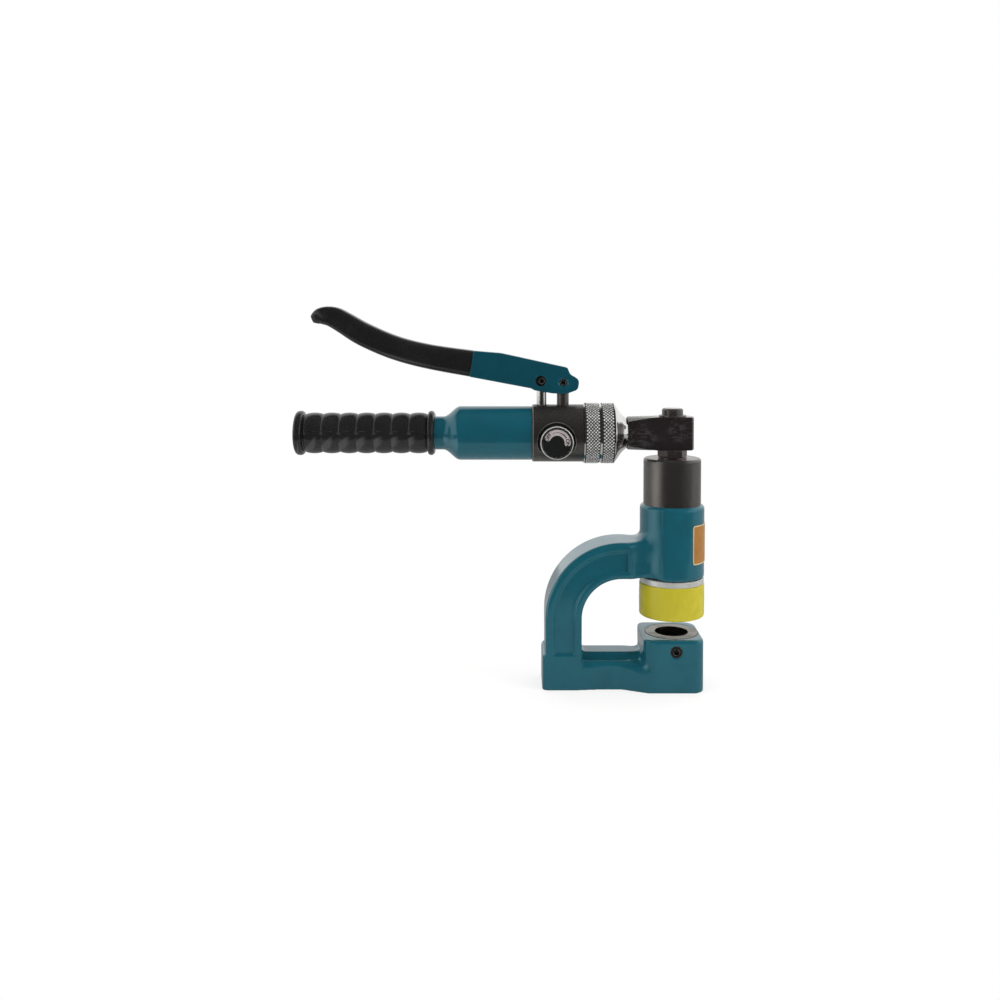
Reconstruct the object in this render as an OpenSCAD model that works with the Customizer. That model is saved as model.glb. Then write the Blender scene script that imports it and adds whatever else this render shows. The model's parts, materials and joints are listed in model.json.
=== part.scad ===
// Hydraulic hole punch: a C frame with a ram, worked by a swivelling hand pump.
// Origin on the punch axis at the underside of the base. +Z up, the pump points to -X, the front is -Y.

/* [C frame] */
// Outside diameter of the head that holds the cylinder
head_od = 55; // [53:0.5:62]
// Height of the head
head_h = 62; // [56:0.5:72]
// Throat depth, from the punch axis to the inner face of the post
throat_depth = 78.5; // [70:0.5:110]
// Daylight between the die and the underside of the head
throat_h = 49; // [46:0.5:60]
// Thickness of the post and the arch, seen from the side
arm_t = 31; // [26:0.5:38]
// Width of the post and the arch
arm_w = 42; // [36:0.5:46]
// Inner radius of the arch
arch_r = 34; // [24:0.2:38]
// Height of the arch's underside above the head's underside
arch_lift = 0.8; // [0.5:0.1:5]
// Edge radius of the post and the arch
arm_edge_r = 3; // [1:0.25:4]
// Depth of the shallow pocket on each side of the post and the arch
pocket_depth = 2.25; // [1.5:0.25:6]
// Rim left outside the pocket
pocket_rim_out = 7; // [5:0.25:9]
// Rim left inside the pocket
pocket_rim_in = 6.2; // [5:0.2:9]
// Gap from the pocket's end to the head
pocket_end_gap = 11; // [8:0.5:16]
// Fillet between the arch and the head
head_fillet_r = 7; // [4:0.5:12]

/* [Base] */
// Height of the die block
base_h = 44.4; // [40:0.2:60]
// Width of the die block
die_block_w = 57; // [54:0.5:70]
// Reach of the die block in front of the punch axis
die_block_front = 24; // [23.5:0.5:34]
// Reach of the die block behind the punch axis
die_block_back = 27; // [25:0.5:32]
// Corner radius of the die block
die_block_r = 9; // [5:0.5:12]
// Height of the rear foot
foot_h = 30; // [28:0.5:36]
// Width of the lower arm between the foot and the die block
lower_arm_w = 38; // [30:0.5:42]
// Ledge of the foot behind the post
foot_ledge = 2.5; // [1:0.25:5]
// Height of the lower arm's shoulders
shoulder_h = 24; // [18:0.5:26]
// Height of the rib along the lower arm
rib_h = 29.4; // [27:0.2:31]
// Width of the rib along the lower arm
rib_w = 21; // [14:0.5:30]

/* [Punch and die] */
// Diameter of the punched hole
punch_d = 28; // [14:0.5:29]
// Clearance between the punch and the die, on the diameter
die_clearance = 0.5; // [0.3:0.1:1.2]
// Outside diameter of the die
die_od = 44.8; // [42:0.2:48]
// Height of the die
die_h = 18; // [14:0.5:22]
// Depth of the die's cutting land
die_land = 6; // [4:0.5:8]
// Diameter of the slug hole through the base
slug_d = 33; // [31.5:0.5:36]
// Nominal diameter of the die set screw
set_screw_d = 10; // [6:1:10]
// Depth of the set screw below the top of the die block
set_screw_drop = 9.6; // [8:0.2:11]
// Outside diameter of the stripper
stripper_od = 55.5; // [50:0.5:60]
// Height of the stripper
stripper_h = 29.4; // [24:0.2:30]
// Thickness of the bright plate above the stripper
punch_plate_t = 5; // [4:0.2:6]
// Depth of the punch's face inside the stripper
punch_recess = 1; // [0.5:0.25:3]
// Full stroke of the ram
ram_stroke = 18; // [16:0.5:20]

/* [Cylinder] */
// Outside diameter of the cylinder above the head
cyl_od = 49; // [46:0.5:52]
// Outside diameter of the cylinder's screwed part in the head
cyl_thread_d = 46; // [44:0.5:48]
// Bore of the cylinder
cyl_bore = 38; // [34:0.5:39]
// Height of the cylinder above the head
cyl_rise = 39.5; // [36:0.5:60]
// Thickness of the cylinder's roof
cyl_roof = 15; // [13.5:0.5:20]
// Rim radius of the cylinder
cyl_rim_r = 2; // [0.5:0.25:3]
// Diameter of the ram rod
rod_d = 26; // [22:0.5:27]
// Height of the piston
piston_h = 16; // [14:0.5:18]
// Height of the rod guide
guide_h = 16; // [12:0.5:18]
// Wire diameter of the return spring
spring_wire = 3; // [2:0.1:3.4]
// Turns of the return spring
spring_turns = 6; // [4:1:7]

/* [Swivel] */
// Across flats of the stud's hexagon
hex_af = 22; // [21:0.5:24]
// Height of the stud's hexagon
hex_h = 6.4; // [4:0.2:10]
// Turn of the hexagon as it was tightened
hex_turn = 16.4; // [0:0.1:59]
// Thickness of the sealing washer under the stud
washer_t = 1; // [0.8:0.1:2]
// Diameter of the stud in the swivel block
stud_d = 18; // [16:0.5:20]
// Diameter of the stud's thread
stud_thread_d = 16; // [12:0.5:16]
// Height of the swivel block
block_h = 27.3; // [26:0.1:30]
// Width across the flats of the swivel block's shank
shank_flat_w = 19.2; // [18:0.2:24]
// Radius of the swivel block's eye
eye_r = 18.2; // [16:0.2:20]
// Distance from the punch axis to the swivel block's end
block_reach = 39.3; // [36:0.1:46]
// Outside diameter of the stud's circlip
circlip_d = 23.4; // [22:0.2:26]
// Thickness of the stud's circlip
circlip_t = 1.2; // [1:0.1:1.5]

/* [Pump] */
// Outside diameter of the pump block
pump_od = 49; // [47:0.5:54]
// Length of the pump block
pump_len = 44.7; // [44:0.1:56]
// Outside diameter of the coupling nut
nut_od = 51.6; // [50:0.2:56]
// Length of the nut's knurled part
nut_len = 26.5; // [23:0.5:32]
// Length of the nut's dome
dome_len = 4.3; // [3:0.1:8]
// Diameter of the nut's nose
nose_d = 27.2; // [24:0.2:28]
// Width of the groove round the nut
nut_groove_w = 3; // [2:0.25:4]
// Outside diameter of the reservoir tube
tube_od = 46; // [45:0.5:48]
// Wall of the reservoir tube
tube_wall = 3; // [2.5:0.25:4]
// Length of the reservoir tube's full diameter
tube_len = 61; // [50:0.5:90]
// Length of the reservoir's shoulder
tube_shoulder = 15; // [10:0.5:24]
// Diameter of the reservoir's neck
neck_d = 28.4; // [27.5:0.2:32]
// Length of the reservoir's neck
neck_len = 7; // [6:0.5:14]
// Length of the rubber grip
grip_len = 119; // [100:1:150]
// Diameter of the grip's flanges
grip_flange_d = 38; // [36:0.5:44]
// Diameter of the grip over its ribs
grip_rib_d = 35; // [33.5:0.5:36]
// Ribs on the grip
grip_ribs = 7; // [5:1:9]

/* [Lever and plunger] */
// Distance from the pump block's left face to the plunger
plunger_inset = 8.1; // [7:0.1:10]
// Distance between the plunger and the fulcrum post
pin_span = 18.2; // [17:0.2:20]
// Height of the fulcrum pin above the pump axis
fulcrum_h = 43.6; // [42:0.2:48]
// Height of the plunger pin above the fulcrum pin at rest
plunger_pin_rise = 1.4; // [0:0.1:2]
// Diameter of the plunger
plunger_d = 8.6; // [8:0.1:9]
// Diameter of the fulcrum post
post_d = 10.3; // [9.6:0.1:11]
// Diameter of the lever pins
pin_d = 6; // [5:0.1:6.2]
// Width of the lever
lever_w = 20; // [18:0.5:24]
// Thickness of the dipped sleeve
sleeve_t = 1.8; // [1.2:0.1:2.5]

/* [Release valve] */
// Diameter of the release knob
knob_d = 28; // [24:0.5:30]
// Thickness of the release knob
knob_t = 10; // [8:0.5:16]
// Drop of the release knob below the pump axis
knob_drop = 5.5; // [5:0.25:8]
// Distance from the pump block's left face to the release knob
knob_inset = 20.2; // [20:0.2:24]
// Diameter of the release spindle
spindle_d = 6; // [5:0.5:7]

/* [Fits] */
// Radial clearance of a running fit
run_fit = 0.05; // [0.03:0.01:0.08]
// Radial clearance of a screwed or pressed seat
seat_fit = 0.03; // [0.01:0.01:0.05]
// Gap between faces that move past each other
face_gap = 0.3; // [0.2:0.05:0.5]

/* [Hidden] */
$fn = 96;
arc_steps = 5;
overcut = 1;

// Heights up the punch axis
cyl_sink = 1.5;
spring_slack = 8;
stud_stub = 6;
die_floor = base_h - die_h;
set_screw_z = base_h - set_screw_drop;
head_bottom = base_h + throat_h;
head_top = head_bottom + head_h;
cyl_bottom = head_bottom + cyl_sink;
cyl_top = head_top + cyl_rise;
cyl_ceiling = cyl_top - cyl_roof;
guide_top = cyl_bottom + guide_h;
spring_solid_h = spring_turns * spring_wire + spring_slack;
piston_bottom = guide_top + spring_solid_h + ram_stroke;
plate_top = head_bottom - face_gap;
plate_bottom = plate_top - punch_plate_t;
stripper_bottom = plate_bottom - stripper_h;
punch_face = stripper_bottom + punch_recess;
hex_bottom = cyl_top + washer_t;
hex_top = hex_bottom + hex_h;
block_bottom = hex_top + face_gap;
block_top = block_bottom + block_h;
circlip_bottom = block_top + face_gap;
stud_top = circlip_bottom + circlip_t + stud_stub;
pump_z = (block_bottom + block_top) / 2;

// Places along the C frame
post_in = -throat_depth;
post_out = post_in - arm_t;
foot_back = post_out - foot_ledge;
arch_x = post_in + arch_r;
arch_z = head_bottom + arch_lift - arch_r;
arch_top = arch_z + arch_r + arm_t;
pocket_end = max(-head_od / 2 - pocket_end_gap, arch_x + 1);

// Sizes of the ram and its screwed nose
nose_thread_d = 16;
ram_nose_len = 20;
seal_groove_w = 5;
seal_groove_depth = 4;
wiper_h = 4;
wiper_lip = 3;
oil_port_d = 4;

// Places along the pump, measured on its axis
nut_nose_x = -block_reach - face_gap;
nose_len = 5.1;
dome_x = nut_nose_x - nose_len;
knurl_x = dome_x - dome_len;
nut_back_x = knurl_x - nut_len;
pump_front_x = nut_back_x - 0.2;
pump_back_x = pump_front_x - pump_len;
spigot_r = 20;
flange_t = 5.5;
nut_floor_x = knurl_x - 0.9;
flange_front_x = nut_floor_x - face_gap;
flange_back_x = flange_front_x - flange_t;
spigot_front_x = flange_back_x - face_gap;
nipple_r = 8;
nipple_tail_r = 7;
nipple_tail_len = 24;
nipple_end_x = flange_back_x - nipple_tail_len;
nipple_thread_len = 14;
tube_front_x = pump_back_x - 0.2;
tube_back_x = tube_front_x - tube_len;
neck_x = tube_back_x - tube_shoulder;
grip_front_x = neck_x - neck_len;
grip_back_x = grip_front_x - grip_len;
grip_tube_r = neck_d / 2 - 1.2;
spigot_back_len = 14.5;
tube_bore_r = tube_od / 2 - tube_wall;

// Places of the lever linkage and the valves
plunger_x = pump_back_x + plunger_inset;
post_x = plunger_x + pin_span;
fulcrum_z = pump_z + fulcrum_h;
plunger_pin_z = fulcrum_z + plunger_pin_rise;
fork_gap = post_d + 0.8;
fork_roof = 7.2;
fork_back = 8.8;
fork_front = 10;
fork_drop = 20;
loose_hole_r = pin_d / 2 + 1.4;
loose_hole_shift = 1.05;
tongue_t = 7.2;
tongue_run_out = 9;
plunger_low = pump_z - 7;
pump_chamber_low = pump_z - 14;
gland_r = 6.5;
gland_h = 14;
gland_top = pump_z + sqrt(pow(pump_od / 2, 2) - pow(gland_r, 2)) - 0.3;
plunger_seal_h = 3;
knob_x = pump_back_x + knob_inset;
knob_z = pump_z - knob_drop;
spot_d = knob_d + 4.5;
spot_y = pump_od / 2 - 4;
knob_back_y = spot_y + face_gap;
knob_front_y = knob_back_y + knob_t;
spindle_tip_y = 4;
check_ball_r = 2.6;
check_bore_r = 3.2;
check_seat_len = 5;
check_spring_wire = 0.7;
outlet_z = pump_z + 3;
inlet_z = pump_z - 10;

// Points on an arc that rounds the corner b between a and c
function unit(v) = v / norm(v);
function corner(a, b, c, r) = r == 0 ? [b] :
  let (u = unit(a - b), v = unit(c - b), half = acos(u * v) / 2,
       centre = b + unit(u + v) * r / sin(half),
       p = b + u * r / tan(half) - centre, q = b + v * r / tan(half) - centre,
       start = atan2(p[1], p[0]), sweep = (atan2(q[1], q[0]) - start + 540) % 360 - 180)
  [for (i = [0:arc_steps]) centre + r * [cos(start + sweep * i / arc_steps),
      sin(start + sweep * i / arc_steps)]];
function flat(p) = [p[0], p[1]];
// Closed outline from corners given as [x, y, radius]
function rounded(pts) = let (n = len(pts))
  [for (i = [0:n - 1]) each corner(flat(pts[(i + n - 1) % n]), flat(pts[i]), flat(pts[(i + 1) % n]),
      pts[i][2])];

// Solid of revolution about the pump axis, from points [x, radius]
module turned_x(pts) {
  translate([0, 0, pump_z]) rotate([0, 90, 0]) rotate_extrude() polygon([for (p = pts) [p[1], p[0]]]);
}

// Cylinder along X, between two places on the axis at height z
module bar_x(x0, x1, r, z = pump_z) {
  translate([x0, 0, z]) rotate([0, 90, 0]) cylinder(r = r, h = x1 - x0);
}

// Cylinder along Y towards the front, between two depths
module bar_y(x, z, y0, y1, r) {
  translate([x, -y0, z]) rotate([90, 0, 0]) cylinder(r = r, h = y1 - y0);
}

// Extrusion of an outline in X and Z, of width w centred on the mid plane
module slab(w) {
  rotate([90, 0, 0]) linear_extrude(height = w, center = true) children();
}

// Ring of round section
module o_ring(mid_r, wire_r) {
  rotate_extrude() translate([mid_r, 0]) circle(r = wire_r, $fn = 24);
}

// Helical spring from z = 0 to length, with a close turn at each end
spring_sides = 6;
spring_rings = 8;
function coil_height(t, turns, wire, length) =
  let (close = wire + 0.6, open = (length - wire - 2 * close) / (turns - 2))
  wire / 2 + (t < 1 ? t * close : t > turns - 1 ? length - wire - (turns - t) * close : close + (t - 1) * open);
function coil_points(turns, mid_r, wire, length) =
  [for (i = [0:turns * spring_rings]) let (t = i / spring_rings, z = coil_height(t, turns, wire, length))
    for (k = [0:spring_sides - 1]) let (a = 360 * k / spring_sides, r = mid_r + wire / 2 * cos(a))
      [r * cos(360 * t), r * sin(360 * t), z + wire / 2 * sin(a)]];
function tube_faces(rings, sides) = concat(
  [for (i = [0:rings - 2]) for (k = [0:sides - 1]) let (a = i * sides + k, b = i * sides + (k + 1) % sides)
    each [[a, a + sides, b], [b, a + sides, b + sides]]],
  [for (k = [1:sides - 2]) [0, k, k + 1]],
  [for (k = [1:sides - 2]) let (e = (rings - 1) * sides) [e, e + k + 1, e + k]]);
module spring(turns, mid_r, wire, length) {
  polyhedron(coil_points(turns, mid_r, wire, length), tube_faces(turns * spring_rings + 1, spring_sides));
}

// Cross-section of the post and the arch: [distance from the inner face, width], plain or with side pockets
pocket_draft = 1;
pocket_r = 1.2;
function arm_half(pocket) = let (w = arm_w / 2) pocket ?
  [[pocket_rim_in, w, pocket_r], [pocket_rim_in + pocket_draft, w - pocket_depth, pocket_r],
   [arm_t - pocket_rim_out - pocket_draft, w - pocket_depth, pocket_r],
       [arm_t - pocket_rim_out, w, pocket_r]] : [];
function arm_section(pocket) = let (w = arm_w / 2, half = arm_half(pocket), n = len(half)) rounded(concat(
  [[0, w, arm_edge_r]], half, [[arm_t, w, arm_edge_r], [arm_t, -w, arm_edge_r]],
  [for (i = [1:1:n]) [half[n - i][0], -half[n - i][1], half[n - i][2]]], [[0, -w, arm_edge_r]]));

module post_length(z0, z1, pocket) {
  translate([0, 0, z0]) linear_extrude(height = z1 - z0)
    polygon([for (p = arm_section(pocket)) [post_in - p[0], p[1]]]);
}

module arch_length(x0, x1, pocket) {
  translate([x0, 0, 0]) rotate([90, 0, 90]) linear_extrude(height = x1 - x0)
    polygon([for (p = arm_section(pocket)) [p[1], arch_z + arch_r + p[0]]]);
}

// Post, quarter arch and the run into the head, swept from one section
module arm() {
  pocket_low = foot_h;
  post_length(0, pocket_low, false);
  post_length(pocket_low, arch_z, true);
  translate([arch_x, 0, arch_z]) rotate([90, 0, 0]) rotate([0, 0, 90]) rotate_extrude(angle = 90)
    polygon([for (p = arm_section(true)) [arch_r + p[0], p[1]]]);
  arch_length(arch_x, pocket_end, true);
  arch_length(pocket_end, 0, false);
}

// Round head with softened rims, and the fillets that carry the arch into it
module head() {
  r = head_od / 2;
  rim_r = 3;
  lip_r = 1.5;
  top_flat = arm_w - 2 * arm_edge_r;
  rotate_extrude() polygon(rounded([[0, head_bottom, 0], [r, head_bottom, lip_r], [r, head_top, rim_r],
      [0, head_top, 0]]));
  intersection() {
    rotate_extrude() polygon(concat([[r - overcut, arch_top + head_fillet_r],
        [r - overcut, arch_top - overcut],
      [r + head_fillet_r, arch_top - overcut]],
      [for (i = [0:arc_steps]) let (a = 270 - 90 * i / arc_steps)
        [r + head_fillet_r + head_fillet_r * cos(a), arch_top + head_fillet_r + head_fillet_r * sin(a)]]));
    translate([-head_od, -top_flat / 2, 0]) cube([head_od, top_flat, head_top]);
  }
  side_r = head_fillet_r + 5;
  side_y = arm_w / 2 + side_r;
  side_x = -sqrt(pow(r + side_r, 2) - pow(side_y, 2));
  for (side = [-1, 1]) {
    translate([0, 0, head_bottom + arch_lift + arm_edge_r])
        linear_extrude(height = arm_t - 2 * arm_edge_r) difference() {
      polygon([[0, 0], [side_x, side * arm_w / 2], [side_x, side * side_y] * r / (r + side_r)]);
      translate([side_x, side * side_y]) circle(r = side_r);
    }
  }
}

// Foot, lower arm with its rib, and the die block
module base() {
  foot_half = arm_w / 2;
  lower_half = lower_arm_w / 2;
  block_half = die_block_w / 2;
  edge_r = 4;
  top_r = 2;
  toe_r = 2.2;
  sweep_r = 14;
  sweep_len = 22;
  sweep_x = -die_block_back + 4;
  foot_x = post_in - 4;
  block_plan = [[-die_block_back, -block_half, die_block_r], [die_block_front, -block_half, die_block_r],
    [die_block_front, block_half, die_block_r], [-die_block_back, block_half, die_block_r]];
  // Plan of the foot, drawn in to the lower arm and swept out to the die block
  linear_extrude(height = shoulder_h - edge_r) polygon(rounded([
    [foot_back, -foot_half, edge_r], [foot_x, -foot_half, sweep_r],
        [foot_x + sweep_len, -lower_half, sweep_r],
    [sweep_x - sweep_len, -lower_half, sweep_r], [sweep_x, -block_half, sweep_r / 2], [0, -block_half, 0],
    [0, block_half, 0], [sweep_x, block_half, sweep_r / 2], [sweep_x - sweep_len, lower_half, sweep_r],
    [foot_x + sweep_len, lower_half, sweep_r], [foot_x, foot_half, sweep_r],
        [foot_back, foot_half, edge_r]]));
  // Lower arm: shoulders that round over, and the rib that stands on them
  translate([post_out, 0, 0]) rotate([90, 0, 90]) linear_extrude(height = -post_out) polygon(rounded([
    [-lower_half, 0, 0], [lower_half, 0, 0], [lower_half, shoulder_h, edge_r], [rib_w / 2, shoulder_h, 3],
    [rib_w / 2, rib_h, top_r], [-rib_w / 2, rib_h, top_r], [-rib_w / 2, shoulder_h, 3],
    [-lower_half, shoulder_h, edge_r]]));
  // Fillet between the rib and the post
  slab(rib_w - 2 * top_r) polygon(concat([[post_in - overcut, rib_h - overcut],
      [post_in + edge_r, rib_h - overcut]],
    [for (i = [0:arc_steps]) let (a = 270 - 90 * i / arc_steps)
      [post_in + edge_r + edge_r * cos(a), rib_h + edge_r + edge_r * sin(a)]],
          [[post_in - overcut, rib_h + edge_r]]));
  // Fillet between the rib and the die block
  slab(rib_w - 2 * top_r) polygon(concat([[-die_block_back + overcut, rib_h + edge_r],
      [-die_block_back + overcut, rib_h - overcut], [-die_block_back - edge_r, rib_h - overcut]],
    [for (i = [0:arc_steps]) let (a = 270 + 90 * i / arc_steps)
      [-die_block_back - edge_r + edge_r * cos(a), rib_h + edge_r + edge_r * sin(a)]]));
  // Rear foot behind and under the post
  intersection() {
    linear_extrude(height = foot_h) polygon(rounded([[foot_back, -foot_half, edge_r],
        [post_in, -foot_half, toe_r],
      [post_in, foot_half, toe_r], [foot_back, foot_half, edge_r]]));
    slab(arm_w) polygon(rounded([[foot_back, 0, 0], [post_in, 0, 0], [post_in, foot_h, 0],
        [foot_back, foot_h, toe_r]]));
  }
  // Die block
  intersection() {
    linear_extrude(height = base_h) polygon(rounded(block_plan));
    slab(die_block_w) polygon(rounded([[-die_block_back, 0, 0], [die_block_front, 0, 0],
      [die_block_front, base_h, top_r], [-die_block_back, base_h, top_r]]));
    translate([-die_block_back, 0, 0]) rotate([90, 0, 90])
        linear_extrude(height = die_block_back + die_block_front)
      polygon(rounded([[-block_half, 0, 0], [block_half, 0, 0], [block_half, base_h, top_r],
          [-block_half, base_h, top_r]]));
  }
}

module c_frame() color("#1b5562") difference() {
  union() {
    arm();
    head();
    base();
  }
  translate([0, 0, head_bottom - overcut])
      cylinder(d = cyl_thread_d + 2 * seat_fit, h = head_h + 2 * overcut);
  translate([0, 0, die_floor]) cylinder(d = die_od + 2 * seat_fit, h = die_h + overcut);
  translate([0, 0, -overcut]) cylinder(d = slug_d, h = die_floor + 2 * overcut);
  bar_y(0, set_screw_z, die_od / 2 - overcut, die_block_w / 2 + overcut, set_screw_d / 2 + seat_fit);
}

module ram_cylinder() color("#3a3937") difference() {
  union() {
    translate([0, 0, cyl_bottom]) cylinder(d = cyl_thread_d, h = head_top - cyl_bottom + overcut);
    rotate_extrude() polygon(rounded([[0, head_top, 0], [cyl_od / 2, head_top, 0],
        [cyl_od / 2, cyl_top, cyl_rim_r],
      [0, cyl_top, 0]]));
  }
  translate([0, 0, cyl_bottom - overcut]) cylinder(d = cyl_bore, h = cyl_ceiling - cyl_bottom + overcut);
  translate([0, 0, cyl_ceiling - overcut]) cylinder(d = oil_port_d, h = cyl_roof);
  translate([0, 0, cyl_top - stud_thread_len])
      cylinder(d = stud_thread_d + 2 * seat_fit, h = stud_thread_len + overcut);
}
stud_thread_len = 11;

module seal_washer() color("#b87333") translate([0, 0, cyl_top]) difference() {
  cylinder(d = hex_af + 2.4, h = washer_t);
  translate([0, 0, -overcut]) cylinder(d = stud_thread_d + 2 * seat_fit, h = washer_t + 2 * overcut);
}

// Grooves of the stud: height of the middle, width, depth
stud_groove_depth = 1.9;
stud_groove_w = 2.6;
o_ring_wire_r = stud_groove_depth / 2 - 0.02;
stud_groove_z = [block_bottom + 5, block_top - 5];
circlip_groove_depth = 1;

module swivel_stud() color("#2b2a28") difference() {
  union() {
    translate([0, 0, cyl_top - stud_thread_len + 0.5])
        cylinder(d = stud_thread_d, h = stud_thread_len + washer_t);
    rotate(hex_turn) translate([0, 0, hex_bottom]) intersection() {
      cylinder(d = hex_af / cos(30), h = hex_h, $fn = 6);
      rotate_extrude() polygon([[0, 0], [hex_af / 2, 0], [hex_af / 2 + 2, 1], [hex_af / 2 + 2, hex_h - 1],
        [hex_af / 2, hex_h], [0, hex_h]]);
    }
    rotate_extrude() polygon([[0, hex_top - overcut], [stud_d / 2, hex_top - overcut],
        [stud_d / 2, stud_top - 1],
      [stud_d / 2 - 1, stud_top], [0, stud_top]]);
  }
  for (z = stud_groove_z) stud_groove(z, stud_groove_w, stud_groove_depth);
  stud_groove(pump_z, oil_port_d, 1);
  stud_groove(circlip_bottom + circlip_t / 2, circlip_t + 0.1, circlip_groove_depth);
  translate([0, 0, cyl_top - stud_thread_len])
      cylinder(d = oil_port_d, h = pump_z - cyl_top + stud_thread_len);
  bar_x(-stud_d / 2 - overcut, stud_d / 2 + overcut, oil_port_d / 2 - 0.5);
}

module stud_groove(z, w, depth) {
  translate([0, 0, z - w / 2]) difference() {
    cylinder(d = stud_d + 2 * overcut, h = w);
    translate([0, 0, -overcut]) cylinder(d = stud_d - 2 * depth, h = w + 2 * overcut);
  }
}

module stud_o_rings() color("#202020") for (z = stud_groove_z) {
  translate([0, 0, z]) o_ring((stud_d - stud_groove_depth) / 2, o_ring_wire_r);
}

// Open ring with two eared ends towards the front right
module stud_circlip() color("#2b2b2b") translate([0, 0, circlip_bottom]) {
  inner = stud_d - 2 * circlip_groove_depth + 0.2;
  lug_turn = 13;
  lug_r = circlip_d / 2 - 0.4;
  difference() {
    union() {
      cylinder(d = circlip_d - 2, h = circlip_t);
      for (side = [-1, 1]) rotate(side * lug_turn) translate([lug_r, 0, 0]) cylinder(d = 4.4, h = circlip_t);
    }
    translate([0, 0, -overcut]) cylinder(d = inner, h = circlip_t + 2 * overcut);
    for (side = [-1, 1]) rotate(side * lug_turn) translate([lug_r, 0, -overcut])
        cylinder(d = 1.6, h = circlip_t + 2 * overcut);
    translate([0, -0.6, -overcut]) cube([circlip_d, 1.2, circlip_t + 2 * overcut]);
  }
}

module die() color("#8a8a86") difference() {
  translate([0, 0, die_floor]) cylinder(d = die_od, h = die_h);
  translate([0, 0, die_floor - overcut]) cylinder(d = punch_d + die_clearance, h = die_h + 2 * overcut);
  translate([0, 0, die_floor - overcut])
      cylinder(d = punch_d + die_clearance + 2.5, h = die_h - die_land + overcut);
}

module die_set_screw() color("#252525") {
  head_sink = 0.8;
  socket_af = set_screw_d / 2;
  tip = die_od / 2 + 0.1;
  tail = die_block_w / 2 - head_sink;
  difference() {
    bar_y(0, set_screw_z, tip, tail, set_screw_d / 2);
    translate([0, -tail + (tail - tip) * 0.6, set_screw_z]) rotate([90, 0, 0])
      cylinder(d = socket_af / cos(30), h = tail, $fn = 6);
  }
}

// Screwed ring that closes the cylinder and guides the rod
module rod_guide() color("#b08d57") difference() {
  translate([0, 0, cyl_bottom]) cylinder(d = cyl_bore - 2 * seat_fit, h = guide_h);
  translate([0, 0, cyl_bottom - overcut]) cylinder(d = rod_d + 2 * run_fit, h = guide_h + 2 * overcut);
  translate([0, 0, cyl_bottom - overcut])
      cylinder(d = rod_d + 2 * wiper_lip + 2 * seat_fit, h = wiper_h + overcut);
}

module rod_wiper() color("#202020") translate([0, 0, cyl_bottom]) difference() {
  cylinder(d = rod_d + 2 * wiper_lip, h = wiper_h - 0.1);
  translate([0, 0, -overcut]) cylinder(d = rod_d + 2 * run_fit, h = wiper_h + 2 * overcut);
}

return_coil_r = (rod_d + cyl_bore) / 4;
return_coil_len = piston_bottom - guide_top - 0.1;
module return_spring() color("#9a9a9a") translate([0, 0, guide_top + 0.05]) {
  spring(spring_turns, return_coil_r, spring_wire, return_coil_len);
}
echo("least gap between turns of the return spring", min([for (i = [0:(spring_turns - 1) * spring_rings])
  coil_height(i / spring_rings + 1, spring_turns, spring_wire, return_coil_len)
  - coil_height(i / spring_rings, spring_turns, spring_wire, return_coil_len)]) - spring_wire);

module ram() color("#c8c8c8") difference() {
  union() {
    translate([0, 0, piston_bottom]) cylinder(d = cyl_bore - 2 * run_fit, h = piston_h);
    translate([0, 0, plate_top]) cylinder(d = rod_d, h = piston_bottom - plate_top + overcut);
    translate([0, 0, plate_top - ram_nose_len]) cylinder(d = nose_thread_d, h = ram_nose_len + overcut);
  }
  translate([0, 0, piston_bottom + piston_h / 2 - seal_groove_w / 2]) difference() {
    cylinder(d = cyl_bore + overcut, h = seal_groove_w);
    translate([0, 0, -overcut])
        cylinder(d = cyl_bore - 2 * seal_groove_depth, h = seal_groove_w + 2 * overcut);
  }
}

module piston_seal() color("#7d3b2a") {
  translate([0, 0, piston_bottom + piston_h / 2 - seal_groove_w / 2 + 0.1]) difference() {
    cylinder(d = cyl_bore - 2 * run_fit, h = seal_groove_w - 0.2);
    translate([0, 0, -overcut])
        cylinder(d = cyl_bore - 2 * seal_groove_depth + 2 * seat_fit, h = seal_groove_w + overcut);
  }
}

module punch_plate() color("#d0d0d0") difference() {
  rotate_extrude() polygon(rounded([[0, plate_bottom, 0], [stripper_od / 2 - 0.5, plate_bottom, 0.6],
    [stripper_od / 2 - 0.5, plate_top, 0.6], [0, plate_top, 0]]));
  translate([0, 0, plate_bottom - overcut])
      cylinder(d = nose_thread_d + 2 * seat_fit, h = punch_plate_t + 2 * overcut);
}

module punch() color("#777777") difference() {
  union() {
    translate([0, 0, punch_face]) cylinder(d = punch_d, h = plate_bottom - punch_face);
    translate([0, 0, punch_face - 0.8]) cylinder(d1 = 0.4, d2 = 4, h = 0.9);
  }
  translate([0, 0, plate_top - ram_nose_len - 0.5])
      cylinder(d = nose_thread_d + 2 * seat_fit, h = ram_nose_len + overcut);
}

module stripper() color("#c4ba33") difference() {
  rotate_extrude() polygon(rounded([[0, stripper_bottom, 0], [stripper_od / 2, stripper_bottom, 1.5],
    [stripper_od / 2, plate_bottom, 0.8], [0, plate_bottom, 0]]));
  translate([0, 0, stripper_bottom - overcut])
      cylinder(d = punch_d + 2 * face_gap, h = stripper_h + 2 * overcut);
}

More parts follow.
